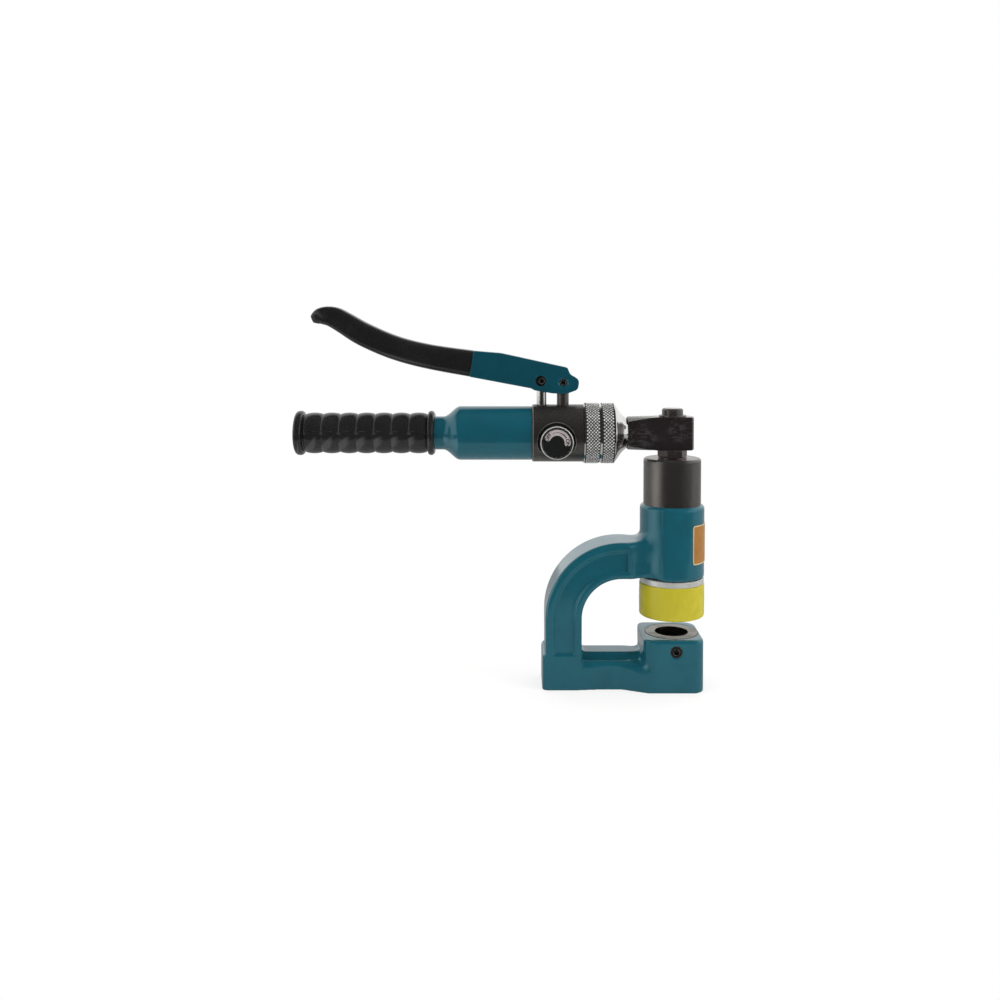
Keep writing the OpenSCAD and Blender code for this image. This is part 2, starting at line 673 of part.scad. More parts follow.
// Forged block: a flat-faced eye on the stud and a round shank towards the pump
module swivel_block() color("#2b2a28") difference() {
  shank_r = block_h / 2 + 0.2;
  shank_root_r = eye_r - 1.5;
  shank_inset = 0.25;
  union() {
    rotate_extrude() polygon(rounded([[0, block_bottom, 0], [eye_r, block_bottom, 0.8],
        [eye_r, block_top, 0.8],
      [0, block_top, 0]]));
    intersection() {
      turned_x([[-block_reach, 0], [-block_reach, shank_r - 1], [-block_reach + 1, shank_r],
        [-eye_r + 2, shank_root_r], [0, shank_root_r], [0, 0]]);
      translate([-block_reach - overcut, -shank_flat_w / 2, block_bottom + shank_inset])
        cube([block_reach + overcut, shank_flat_w, block_h - 2 * shank_inset]);
    }
  }
  translate([0, 0, block_bottom - overcut]) cylinder(r = stud_d / 2 + run_fit, h = block_h + 2 * overcut);
  bar_x(-block_reach - overcut, -block_reach + nipple_thread_len, nipple_r + seat_fit);
  bar_x(-block_reach, -stud_d / 2, oil_port_d / 2);
}

// Flanged nipple on which the pump turns
tail_groove_x = nipple_end_x + 9;
module swivel_nipple() color("#6d6d6a") difference() {
  turned_x([[nipple_end_x, oil_port_d / 2], [nipple_end_x, nipple_tail_r],
    [tail_groove_x - stud_groove_w / 2, nipple_tail_r],
        [tail_groove_x - stud_groove_w / 2, nipple_tail_r - stud_groove_depth],
    [tail_groove_x + stud_groove_w / 2, nipple_tail_r - stud_groove_depth],
        [tail_groove_x + stud_groove_w / 2, nipple_tail_r],
    [flange_back_x, nipple_tail_r], [flange_back_x, spigot_r - 2], [flange_front_x, spigot_r - 2],
        [flange_front_x, nipple_r],
    [-block_reach + nipple_thread_len - 0.5, nipple_r],
        [-block_reach + nipple_thread_len - 0.5, oil_port_d / 2]]);
}

module nipple_o_ring() color("#202020") translate([tail_groove_x, 0, pump_z]) rotate([0, 90, 0]) {
  o_ring(nipple_tail_r - stud_groove_depth / 2, o_ring_wire_r);
}

module pump_block() color("#2b2a28") difference() {
  chamfer = 0.8;
  nipple_bore_end = nipple_end_x - 1.5;
  turned_x([[pump_back_x - spigot_back_len, 0], [pump_back_x - spigot_back_len, tube_bore_r - seat_fit],
    [pump_back_x, tube_bore_r - seat_fit], [pump_back_x, pump_od / 2 - chamfer],
        [pump_back_x + chamfer, pump_od / 2],
    [pump_front_x - chamfer, pump_od / 2], [pump_front_x, pump_od / 2 - chamfer], [pump_front_x, spigot_r],
    [spigot_front_x, spigot_r], [spigot_front_x, 0]]);
  bar_x(nipple_bore_end, spigot_front_x + overcut, nipple_tail_r + run_fit);
  // Pumping chamber, its gland, and the fulcrum post's thread
  translate([plunger_x, 0, pump_chamber_low]) cylinder(r = plunger_d / 2 + 0.2, h = pump_od);
  translate([plunger_x, 0, gland_top - gland_h]) cylinder(r = gland_r + seat_fit, h = pump_od);
  translate([post_x, 0, pump_z + post_thread_low]) cylinder(r = post_d / 2 + seat_fit, h = pump_od);
  // Outlet and inlet valves, each with a drilled way to the chamber
  bar_x(outlet_back_x, nipple_bore_end + overcut, check_bore_r, outlet_z);
  bar_x(plunger_x, outlet_back_x + overcut, check_ball_r * 0.55, outlet_z);
  bar_x(pump_back_x - spigot_back_len - overcut, inlet_front_x, check_bore_r, inlet_z);
  bar_x(inlet_front_x - overcut, plunger_x, check_ball_r * 0.55, inlet_z);
  // Spot face and bore for the release valve
  bar_y(knob_x, knob_z, spot_y, pump_od, spot_d / 2);
  bar_y(knob_x, knob_z, spindle_tip_y - 2, pump_od, spindle_d / 2 + run_fit);
}
post_thread_low = 11;
outlet_back_x = plunger_x + plunger_d / 2 + 2.6;
outlet_seat_x = nipple_end_x - 1.5 - check_seat_len - 1;
inlet_back_x = pump_back_x - spigot_back_len;
inlet_front_x = plunger_x - plunger_d / 2 - 3.2;

// Knurled nut with a domed front and a waisted nose round the nipple
module coupling_nut() color("#c9c9c9") {
  r = nut_od / 2;
  chamfer = 0.8;
  groove_shift = 0.6;
  groove_x = (knurl_x + nut_back_x) / 2 + groove_shift;
  groove_depth = 0.9;
  shoulder_r = r - 2;
  turned_x(concat([[nut_back_x, spigot_r + seat_fit], [nut_back_x, r - chamfer], [nut_back_x + chamfer, r],
    [groove_x - nut_groove_w / 2, r], [groove_x - nut_groove_w / 2 + groove_depth / 2, r - groove_depth],
    [groove_x + nut_groove_w / 2 - groove_depth / 2, r - groove_depth], [groove_x + nut_groove_w / 2, r],
    [knurl_x - chamfer, r], [knurl_x, r - chamfer]],
    [for (i = [1:6]) let (a = 90 * i / 6)
      [knurl_x + dome_len * sin(a), nose_d / 2 + (shoulder_r - nose_d / 2) * cos(a)]],
    [for (i = [1:6]) let (t = i / 6) [dome_x + nose_len * t, nose_d / 2 - 1.6 * sin(180 * t)]],
    [[nut_nose_x, nipple_r + run_fit], [nut_floor_x, nipple_r + run_fit],
        [nut_floor_x, spigot_r + seat_fit]]));
}

// Drawn tube with an ogee shoulder, a neck and a blind stem inside the grip
module reservoir_tube() color("#1b5562") {
  steps = 14;
  stem_end_x = grip_back_x + grip_end_t + face_gap;
  stem_bore_r = grip_tube_r - tube_wall;
  r = tube_od / 2;
  neck_r = neck_d / 2;
  turned_x(concat([[tube_front_x, tube_bore_r], [tube_front_x, r - 0.5], [tube_front_x - 0.5, r]],
    [for (i = [0:steps]) let (t = i / steps) [tube_back_x - tube_shoulder * t,
        neck_r + (r - neck_r) * (1 + cos(180 * t)) / 2]],
    [[grip_front_x + face_gap, neck_r], [grip_front_x + face_gap, grip_tube_r],
        [stem_end_x, grip_tube_r], [stem_end_x, 0],
     [stem_end_x + tube_wall, 0], [stem_end_x + tube_wall, stem_bore_r], [neck_x, stem_bore_r]],
    [for (i = [0:steps]) let (t = i / steps)
      [neck_x + tube_shoulder * t, stem_bore_r + (tube_bore_r - stem_bore_r) * (1 - cos(180 * t)) / 2]]));
}
grip_end_t = 4;

module oil_bladder() color("#303030") {
  front_x = inlet_back_x - 0.2;
  back_x = tube_back_x + 1;
  r = tube_bore_r - 0.3;
  turned_x(rounded([[back_x, 0, 0], [back_x, r, 6], [front_x, r, 1.5], [front_x, 0, 0]]));
}

// Rubber grip: a flange at each end and a row of rounded ribs between
module handle_grip() color("#222222") {
  back_flange_w = 7.2;
  front_flange_w = 5.8;
  flange_r = grip_flange_d / 2;
  rib_r = grip_rib_d / 2;
  valley_r = rib_r - 1.35;
  bore_r = grip_tube_r + seat_fit;
  ribs_x0 = grip_back_x + back_flange_w + 1.2;
  ribs_x1 = grip_front_x - front_flange_w - 0.8;
  pitch = (ribs_x1 - ribs_x0) / grip_ribs;
  steps = 6;
  turned_x(concat(
    rounded([[grip_back_x, 0, 0], [grip_back_x, flange_r, 3], [grip_back_x + back_flange_w, flange_r, 2.5],
      [grip_back_x + back_flange_w, valley_r - 1, 0.6]]),
    [for (n = [0:grip_ribs - 1]) for (i = [n == 0 ? 0 : 1:steps]) let (t = i / steps)
      [ribs_x0 + pitch * (n + t), valley_r + (rib_r - valley_r) * sqrt(sin(180 * t))]],
    [for (p = rounded([[grip_front_x - front_flange_w, valley_r - 1, 0.6],
        [grip_front_x - front_flange_w, flange_r, 2.5],
      [grip_front_x, flange_r, 2.5], [grip_front_x, bore_r, 0]])) p],
    [[grip_back_x + grip_end_t, bore_r], [grip_back_x + grip_end_t, 0]]));
}

// Round-topped stud that carries the fulcrum pin
module fulcrum_post() color("#2b2a28") difference() {
  union() {
    translate([post_x, 0, pump_z + post_thread_low + 0.3])
      cylinder(d = post_d, h = fulcrum_h - post_thread_low - 0.3);
    intersection() {
      translate([post_x, 0, fulcrum_z - overcut]) cylinder(d = post_d, h = post_d);
      bar_y(post_x, fulcrum_z, -post_d, post_d, post_d / 2);
    }
  }
  bar_y(post_x, fulcrum_z, -post_d, post_d, pin_d / 2 + seat_fit);
}

pin_sink = 1;
module fulcrum_pin() color("#4a4a48") {
  bar_y(post_x, fulcrum_z, -lever_w / 2 + pin_sink, lever_w / 2 - pin_sink, pin_d / 2);
}

module plunger_gland() color("#b08d57") difference() {
  translate([plunger_x, 0, gland_top - gland_h + plunger_seal_h])
      cylinder(r = gland_r, h = gland_h - plunger_seal_h);
  translate([plunger_x, 0, gland_top - gland_h])
      cylinder(r = plunger_d / 2 + run_fit, h = gland_h + overcut);
}

module plunger_seal() color("#202020") translate([plunger_x, 0, gland_top - gland_h]) difference() {
  cylinder(r = gland_r, h = plunger_seal_h - 0.1);
  translate([0, 0, -overcut]) cylinder(r = plunger_d / 2 + run_fit, h = plunger_seal_h + overcut);
}

// Ball, spring and hollow seat of the outlet and inlet valves
outlet_ball_x = outlet_back_x + check_ball_r + 0.05;
inlet_ball_x = inlet_back_x + check_seat_len + check_ball_r + 0.05;
module check_balls() color("#c0c0c0") {
  translate([outlet_ball_x, 0, outlet_z]) sphere(r = check_ball_r, $fn = 48);
  translate([inlet_ball_x, 0, inlet_z]) sphere(r = check_ball_r, $fn = 48);
}

module check_springs() color("#9a9a9a") {
  mid_r = check_ball_r - check_spring_wire / 2 - 0.2;
  outlet_front = outlet_ball_x + check_ball_r;
  inlet_front = inlet_ball_x + check_ball_r;
  translate([outlet_front + 0.05, 0, outlet_z]) rotate([0, 90, 0])
    spring(4, mid_r, check_spring_wire, outlet_seat_x - outlet_front - 0.1);
  translate([inlet_front + 0.05, 0, inlet_z]) rotate([0, 90, 0])
    spring(4, mid_r, check_spring_wire, inlet_front_x - inlet_front - 0.1);
}

module check_seats() color("#8f8f8c") {
  for (place = [[outlet_seat_x, outlet_z], [inlet_back_x, inlet_z]]) difference() {
    bar_x(place[0], place[0] + check_seat_len, check_bore_r - seat_fit, place[1]);
    bar_x(place[0] - overcut, place[0] + check_seat_len + overcut, check_ball_r * 0.55, place[1]);
  }
}

// Lever shape, in distances left of and above the fulcrum pin: [left, up, half depth, half width]
sleeve_start = 78;
lever_line = [[58, 13.2, 11.6, 10], [sleeve_start, 16, 11.2, 10], [115, 22.1, 10.4, 10.4],
    [143, 29.4, 10.1, 10.6],
  [169, 40.4, 10, 10.4], [194, 54, 8.9, 9.6], [206.5, 55.2, 7, 8], [214, 52.2, 3.6, 5]];
spline_steps = 5;
section_sides = 16;
function spline(p, q, r, s, t) =
  0.5 * (2 * q + (r - p) * t + (2 * p - 5 * q + 4 * r - s) * t * t + (3 * q - p - 3 * r + s) * t * t * t);
function line_at(i) = lever_line[max(0, min(len(lever_line) - 1, i))];
function stations(first) = concat(
  [for (i = [first:len(lever_line) - 2]) for (k = [0:spline_steps - 1])
    spline(line_at(i - 1), line_at(i), line_at(i + 1), line_at(i + 2), k / spline_steps)],
  [line_at(len(lever_line) - 1)]);
// Rounded-box section, its size drawn in by the inset
function section_point(k, depth, width) = let (a = 360 * (k + 0.5) / section_sides, power = 0.55)
  [sign(cos(a)) * pow(abs(cos(a)), power) * width, sign(sin(a)) * pow(abs(sin(a)), power) * depth];
function sweep_points(path, inset, tail) = let (n = len(path))
  [for (i = [0:n - 1]) let (a = flat(path[max(0, i - 1)]), b = flat(path[min(n - 1, i + 1)]),
      d = unit(b - a),
      end = i == n - 1 ? -tail : 0)
    for (k = [0:section_sides - 1]) let (s = section_point(k, path[i][2] - inset,
        path[i][3] * lever_w / 20 - inset),
        left = path[i][0] + end * d[0] - s[1] * d[1], up = path[i][1] + end * d[1] + s[1] * d[0])
      [post_x - left, s[0], fulcrum_z + up]];
module sweep(first, inset, tail = 0) {
  path = stations(first);
  polyhedron(sweep_points(path, inset, tail),
      [for (f = tube_faces(len(path), section_sides)) [f[2], f[1], f[0]]]);
}

// Edge where the bare lever meets the sleeve, at a distance across the lever
sleeve_dir = unit(flat(stations(1)[1]) - flat(stations(1)[0]));
function sleeve_edge(across) = let (p = flat(line_at(1)) - 0.1 * sleeve_dir)
  [p[0] - across * sleeve_dir[1], p[1] + across * sleeve_dir[0], 0];
function lever_outline() = [for (p = rounded([sleeve_edge(-line_at(1)[2]), sleeve_edge(line_at(1)[2]),
    [52.6, 25.1, 25], [-3.5, 12.8, 1.5],
    [-6, 7, 4], [-13.6, 2.6, 4.5], [-12.6, -6, 4.5], [-3, -9.5, 10], [9, -9.2, 10], [24.4, -6.6, 1.5],
        [27.4, -4.9, 1.5]]))
  [post_x - p[0], fulcrum_z + p[1]]];

module lever() color("#1b5562") difference() {
  union() {
    slab(lever_w) polygon(lever_outline());
    sweep(0, sleeve_t, sleeve_t + 0.2);
  }
  translate([plunger_x - fork_back, -fork_gap / 2, fulcrum_z - fork_drop])
    cube([pin_span + 2 * fork_back + fork_front, fork_gap, fork_drop + fork_roof]);
  bar_y(post_x, fulcrum_z, -lever_w, lever_w, pin_d / 2 + run_fit);
  bar_y(plunger_x - loose_hole_shift, plunger_pin_z, -lever_w, lever_w, loose_hole_r);
  for (side = [-1, 1])
    translate([post_x, side * (lever_w / 2 - pin_sink), fulcrum_z]) rotate([-90 * side, 0, 0])
      cylinder(r = loose_hole_r, h = lever_w);
}

module lever_sleeve() color("#1c1c1c") difference() {
  sweep(1, 0);
  sweep(0, sleeve_t - seat_fit, sleeve_t + 0.1);
}

// Pump plunger with a flat-sided tongue
module plunger() color("#d4d4d4") difference() {
  union() {
    translate([plunger_x, 0, plunger_low]) cylinder(d = plunger_d, h = plunger_pin_z - plunger_low);
    intersection() {
      translate([plunger_x, 0, plunger_pin_z - overcut]) cylinder(d = plunger_d, h = plunger_d);
      bar_y(plunger_x, plunger_pin_z, -plunger_d, plunger_d, plunger_d / 2);
    }
  }
  for (side = [-1, 1]) translate([plunger_x, side * (tongue_t / 2 + plunger_d / 2), plunger_pin_z])
    cube([2 * plunger_d, plunger_d, 2 * tongue_run_out], center = true);
  bar_y(plunger_x, plunger_pin_z, -plunger_d, plunger_d, pin_d / 2 + seat_fit);
}

module plunger_pin() color("#4a4a48") {
  bar_y(plunger_x, plunger_pin_z, -lever_w / 2 + pin_sink, lever_w / 2 - pin_sink, pin_d / 2);
}

// Knob with a chamfered face and a hub bore for the spindle
module release_knob() color("#1f1f1f") {
  chamfer = 0.8;
  face_sink = 0.5;
  r = knob_d / 2;
  translate([knob_x, 0, knob_z]) rotate([90, 0, 0]) rotate_extrude() polygon([
    [spindle_d / 2 + seat_fit, knob_back_y], [r - chamfer, knob_back_y], [r, knob_back_y + chamfer],
    [r, knob_front_y - chamfer], [r - chamfer, knob_front_y], [r - 1.6, knob_front_y],
        [r - 1.6, knob_front_y - face_sink],
    [0, knob_front_y - face_sink], [0, knob_front_y - 3], [spindle_d / 2 + seat_fit, knob_front_y - 3]]);
}

spindle_groove_y = spot_y - 6;
module release_spindle() color("#8f8f8c") {
  r = spindle_d / 2;
  groove_r = r - 1.2;
  translate([knob_x, 0, knob_z]) rotate([90, 0, 0]) rotate_extrude()
      polygon([[0, spindle_tip_y], [r, spindle_tip_y + 3],
    [r, spindle_groove_y - 1], [groove_r, spindle_groove_y - 1], [groove_r, spindle_groove_y + 1],
    [r, spindle_groove_y + 1], [r, knob_front_y - 3.1], [0, knob_front_y - 3.1]]);
}

module spindle_o_ring() color("#202020") translate([knob_x, -spindle_groove_y, knob_z]) rotate([90, 0, 0]) {
  o_ring(spindle_d / 2 - 0.6, 0.55);
}

c_frame();
ram_cylinder();
seal_washer();
swivel_stud();
stud_o_rings();
stud_circlip();
die();
die_set_screw();
rod_guide();
rod_wiper();
return_spring();
ram();
piston_seal();
punch_plate();
punch();
stripper();
swivel_block();
swivel_nipple();
nipple_o_ring();
pump_block();
coupling_nut();
reservoir_tube();
oil_bladder();
handle_grip();
fulcrum_post();
fulcrum_pin();
plunger_gland();
plunger_seal();
check_balls();
check_springs();
check_seats();
lever();
lever_sleeve();
plunger();
plunger_pin();
release_knob();
release_spindle();
spindle_o_ring();
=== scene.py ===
import json
import math
import bmesh
import bpy
import numpy as np
from mathutils import Matrix, Vector


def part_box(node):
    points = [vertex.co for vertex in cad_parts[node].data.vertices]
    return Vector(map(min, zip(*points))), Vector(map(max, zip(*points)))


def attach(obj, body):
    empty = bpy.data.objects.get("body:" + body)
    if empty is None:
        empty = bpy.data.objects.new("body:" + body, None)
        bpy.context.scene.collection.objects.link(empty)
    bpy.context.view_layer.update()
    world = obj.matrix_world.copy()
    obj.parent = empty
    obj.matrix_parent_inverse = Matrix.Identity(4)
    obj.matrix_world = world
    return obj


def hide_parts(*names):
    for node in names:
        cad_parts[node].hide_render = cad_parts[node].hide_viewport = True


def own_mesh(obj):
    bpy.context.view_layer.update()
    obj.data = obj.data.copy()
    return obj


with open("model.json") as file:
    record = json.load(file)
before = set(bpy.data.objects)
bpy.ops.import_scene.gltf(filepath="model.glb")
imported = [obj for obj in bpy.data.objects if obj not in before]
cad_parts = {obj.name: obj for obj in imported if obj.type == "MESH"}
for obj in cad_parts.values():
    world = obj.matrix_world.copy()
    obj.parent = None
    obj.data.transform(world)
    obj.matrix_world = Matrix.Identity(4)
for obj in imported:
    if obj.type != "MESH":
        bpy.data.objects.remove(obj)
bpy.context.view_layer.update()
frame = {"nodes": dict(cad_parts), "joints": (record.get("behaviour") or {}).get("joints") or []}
mm = 0.001
joints = {joint["name"]: joint for joint in frame["joints"]}
pumpAxis = Vector(joints["pump_roll"]["pos_m"])
leverPivot = Vector(joints["lever_swing"]["pos_m"])
knobAxis = Vector(joints["release_turn"]["pos_m"])
pumpLine, knobLine = (0, 0, pumpAxis.z), (knobAxis.x, 0, knobAxis.z)
print("frame loaded:", len(frame["nodes"]), "nodes")


# Colour from a six-figure hex text, in linear light
def tint(text):
    parts = [int(text[i:i + 2], 16) / 255 for i in (0, 2, 4)]
    return tuple(c / 12.92 if c <= 0.04045 else ((c + 0.055) / 1.055) ** 2.4 for c in parts) + (1.0,)


# A socket takes a value, a link from a socket, or a link from a node's first output in use
def feed(tree, socket, value):
    if isinstance(value, bpy.types.Node):
        value = next(output for output in value.outputs if output.enabled)
    if isinstance(value, bpy.types.NodeSocket):
        tree.links.new(value, socket)
    else:
        socket.default_value = value


def addNode(tree, kind, inputs=None, **settings):
    made = tree.nodes.new("ShaderNode" + kind)
    for key, value in settings.items():
        setattr(made, key, value)
    for key, value in (inputs or {}).items():
        feed(tree, made.inputs[key], value)
    return made


# Arithmetic on values, or on vectors
def compute(tree, operation, *values, kind="Math", **settings):
    return addNode(tree, kind, dict(enumerate(values)), operation=operation, **settings)


def computeVector(tree, operation, *values):
    return compute(tree, operation, *values, kind="VectorMath")


def mixValues(tree, share, first, second):
    return addNode(tree, "Mix", {0: share, 2: first, 3: second})


def mixColours(tree, share, first, second, **settings):
    return addNode(tree, "Mix", {0: share, 6: first, 7: second}, data_type="RGBA", **settings)


def mixShaders(tree, share, first, second):
    return addNode(tree, "MixShader", {0: share, 1: first, 2: second})


# A value carried from one range to another
def spread(tree, value, fromMin=0.0, fromMax=1.0, toMin=0.0, toMax=1.0, kind="LINEAR"):
    return addNode(tree, "MapRange", {"Value": value, "From Min": fromMin, "From Max": fromMax, "To Min": toMin,
        "To Max": toMax}, interpolation_type=kind)


def placeIn(tree, kind="Object"):
    return addNode(tree, "TexCoord").outputs[kind]


# Empty shader group, with its inputs to link from and its outputs to link to
def newGroup(name, inputs, outputs):
    group = bpy.data.node_groups.new(name, "ShaderNodeTree")
    for label, kind, value in inputs:
        socket = group.interface.new_socket(name=label, in_out="INPUT", socket_type="NodeSocket" + kind)
        if value is not None:
            socket.default_value = value
    for label, kind in outputs:
        group.interface.new_socket(name=label, in_out="OUTPUT", socket_type="NodeSocket" + kind)
    return group, group.nodes.new("NodeGroupInput").outputs, group.nodes.new("NodeGroupOutput").inputs


# Two sizes of noise added up, for orange peel, rubber skin and cast grain
def makeGrainGroup(fineRatio=4.3):
    group, given, result = newGroup("fineGrain", [("Scale", "Float", 800.0), ("Fine", "Float", 0.35)],
        [("Height", "Float")])
    place = placeIn(group)
    fineScale = compute(group, "MULTIPLY", given["Scale"], fineRatio)
    coarse = addNode(group, "TexNoise", {"Vector": place, "Scale": given["Scale"], "Detail": 2.0})
    fine = addNode(group, "TexNoise", {"Vector": place, "Scale": fineScale, "Detail": 1.0})
    feed(group, result["Height"], mixValues(group, given["Fine"], coarse, fine))
    return group


# Slow drift between two colours over the surface
def makeDriftGroup():
    group, given, result = newGroup("colourDrift", [("Colour", "Color", None), ("Other", "Color", None),
        ("Scale", "Float", 40.0), ("Low", "Float", 0.4), ("High", "Float", 0.75)],
        [("Colour", "Color"), ("Mask", "Float")])
    cloud = addNode(group, "TexNoise", {"Vector": placeIn(group), "Scale": given["Scale"], "Detail": 4.0,
        "Roughness": 0.6})
    span = spread(group, cloud, given["Low"], given["High"], kind="SMOOTHSTEP")
    feed(group, result["Colour"], mixColours(group, span, given["Colour"], given["Other"]))
    feed(group, result["Mask"], span)
    return group


# Mask that is strong on outside edges and partly broken up by noise, for worn edges and for painted edge highlights
def makeWearAndEdgeLightGroup():
    group, given, result = newGroup("edgeWearAndLight", [("Radius", "Float", 0.001), ("Gain", "Float", 3.0),
        ("Scale", "Float", 300.0), ("Break", "Float", 1.0)], [("Mask", "Float")])
    soft = addNode(group, "Bevel", {"Radius": given["Radius"]}, samples=6)
    dot = computeVector(group, "DOT_PRODUCT", soft, addNode(group, "NewGeometry").outputs["Normal"])
    gain = compute(group, "MULTIPLY", compute(group, "SUBTRACT", 1.0, dot), given["Gain"])
    breakUp = addNode(group, "TexNoise", {"Vector": placeIn(group), "Scale": given["Scale"], "Detail": 3.0})
    patch = spread(group, breakUp, 0.38, 0.62)
    keep = mixValues(group, given["Break"], 1.0, patch)
    feed(group, result["Mask"], compute(group, "MULTIPLY", gain, keep, use_clamp=True))
    return group


# Short scuffs and small chips left by handling
def makeScuffGroup():
    group, given, result = newGroup("handlingScuffs", [("Stretch", "Vector", (1.0, 1.0, 1.0)),
        ("Scale", "Float", 160.0), ("Low", "Float", 0.6), ("High", "Float", 0.7)], [("Mask", "Float")])
    place = placeIn(group)
    drawn = computeVector(group, "MULTIPLY", place, given["Stretch"])
    marks = addNode(group, "TexNoise", {"Vector": drawn, "Scale": given["Scale"], "Detail": 5.0, "Roughness": 0.68})
    span = spread(group, marks, given["Low"], given["High"])
    patches = addNode(group, "TexNoise", {"Vector": place, "Scale": 55.0, "Detail": 1.0})
    where = spread(group, patches, 0.42, 0.6)
    feed(group, result["Mask"], compute(group, "MULTIPLY", span, where, use_clamp=True))
    return group


# Fine lines round a turned part, spaced along the axis given
def makeTurnedGroup():
    group, given, result = newGroup("turnedLines", [("Axis", "Vector", (0, 0, 1)), ("Scale", "Float", 3000.0)],
        [("Height", "Float")])
    dot = computeVector(group, "DOT_PRODUCT", placeIn(group), given["Axis"])
    along = compute(group, "MULTIPLY", dot, given["Scale"])
    lines = addNode(group, "TexNoise", {"W": along, "Scale": 1.0, "Detail": 3.0}, noise_dimensions="1D")
    feed(group, result["Height"], lines)
    return group


groups = {"grain": makeGrainGroup(), "drift": makeDriftGroup(), "wearAndEdgeLight": makeWearAndEdgeLightGroup(),
    "scuffs": makeScuffGroup(), "turned": makeTurnedGroup()}


def placeGroup(tree, key, **values):
    made = tree.nodes.new("ShaderNodeGroup")
    made.node_tree = groups[key]
    for label, value in values.items():
        made.inputs[label].default_value = value
    return made


# Material with a slow drift between two colours, which its roughness follows from low to high
def newMaterial(name, colour, other, scale, low, high, driftLow=0.4, driftHigh=0.75, **values):
    material = bpy.data.materials.new(name)
    material.use_nodes = True
    tree = material.node_tree
    shader = tree.nodes["Principled BSDF"]
    for label, value in values.items():
        shader.inputs[label.replace("_", " ")].default_value = value
    drift = placeGroup(tree, "drift", Colour=tint(colour), Other=tint(other), Scale=scale, Low=driftLow, High=driftHigh)
    feed(tree, shader.inputs["Roughness"], spread(tree, drift.outputs["Mask"], toMin=low, toMax=high))
    return material, tree, shader, drift


# Colour, and bump from a height with a strength and a depth in metres
def dress(tree, shader, colour, height=None, strength=0.0, depth=0.00003):
    feed(tree, shader.inputs["Base Color"], colour)
    if height:
        bump = addNode(tree, "Bump", {"Height": height, "Strength": strength, "Distance": depth})
        feed(tree, shader.inputs["Normal"], bump)


# Gloss enamel: slow drift in depth, a painted highlight along the edges, orange peel, and on castings a slow ripple
def makeEnamel(name, colour, deep, ripple):
    material, tree, shader, drift = newMaterial(name, colour, deep, 35.0, 0.13, 0.2, Specular_IOR_Level=0.7,
        Specular_Tint=(0.5, 0.92, 1.0, 1.0), Coat_Weight=0.2, Coat_Roughness=0.06)
    wearAndEdgeLight = placeGroup(tree, "wearAndEdgeLight", Radius=0.0012, Gain=3.6, Scale=500.0)
    peel = placeGroup(tree, "grain", Scale=420.0, Fine=0.2)
    slow = placeGroup(tree, "grain", Scale=75.0, Fine=0.1)
    height = compute(tree, "MULTIPLY_ADD", slow, ripple, peel)
    # Edges go towards a paler teal: a painted highlight
    dress(tree, shader, mixColours(tree, wearAndEdgeLight, drift, tint("44808d")), height, 0.3)
    return material


# Oiled black finish on machined steel: lines along the axis it was turned on, edges lightened partly by wear and partly
# by a painted highlight, scuffs
def makeBlackSteel(name, axis, colour="595754", other="504e4b", low=0.26, high=0.34, metallic=0.8, edge=2.5,
        breakUp=1.0, scuff=0.7, patch=60.0, rubbed="817d7c", stretch=(1.0, 1.0, 0.45)):
    material, tree, shader, drift = newMaterial(name, colour, other, patch, low, high, 0.3, 0.8, Specular_IOR_Level=0.5)
    wearAndEdgeLight = placeGroup(tree, "wearAndEdgeLight", Radius=0.0006, Gain=edge, Scale=700.0, Break=breakUp)
    scuffs = placeGroup(tree, "scuffs", Stretch=stretch, Scale=210.0, Low=scuff, High=scuff + 0.1)
    lines = placeGroup(tree, "turned", Axis=axis, Scale=4200.0)
    rub = mixColours(tree, scuffs, drift, tint(rubbed))
    # Edges turn pale grey and less metallic: partly real wear, partly a painted highlight
    feed(tree, shader.inputs["Metallic"], spread(tree, wearAndEdgeLight, toMin=metallic, toMax=0.25))
    dress(tree, shader, mixColours(tree, wearAndEdgeLight, rub, tint("9a968f")), lines, 0.14)
    return material


def makeBrightSteel(name, axis, colour, other, low=0.07, high=0.16, lineScale=5000.0, lineStrength=0.06):
    material, tree, shader, drift = newMaterial(name, colour, other, 120.0, low, high, Metallic=1.0)
    lines = placeGroup(tree, "turned", Axis=axis, Scale=lineScale)
    dress(tree, shader, drift, lines, lineStrength)
    return material


# Knurled chrome: painted shade in the valleys and a painted highlight on the crests, told apart by the distance from
# the nut's axis
def makeKnurlChrome(name, root, crest, valleyShadeTo=0.15, crestLightFrom=0.7):
    material, tree, shader, drift = newMaterial(name, "ffffff", "dcdcd8", 150.0, 0.24, 0.34, Metallic=0.5)
    aside = computeVector(tree, "SUBTRACT", placeIn(tree), pumpLine)
    reach = computeVector(tree, "LENGTH", computeVector(tree, "MULTIPLY", aside, (0, 1, 1)))
    share = spread(tree, reach, root + (crest - root) * valleyShadeTo, root + (crest - root) * crestLightFrom)
    # Dark in the valleys and pale on the crests: painted shade and painted highlight
    valleyShadeAndCrestLight = mixColours(tree, share, tint("424241"), tint("f4f4f3"))
    dress(tree, shader, mixColours(tree, 1.0, valleyShadeAndCrestLight, drift, blend_type="MULTIPLY"))
    return material


# Rubber, plastic, paper and plated skins with a fine grain
def makeSkin(name, colour, other, low, high, scale, strength, depth, **values):
    material, tree, shader, drift = newMaterial(name, colour, other, 60.0, low, high, **values)
    grain = placeGroup(tree, "grain", Scale=scale, Fine=0.4)
    dress(tree, shader, drift, grain, strength, depth)
    return material


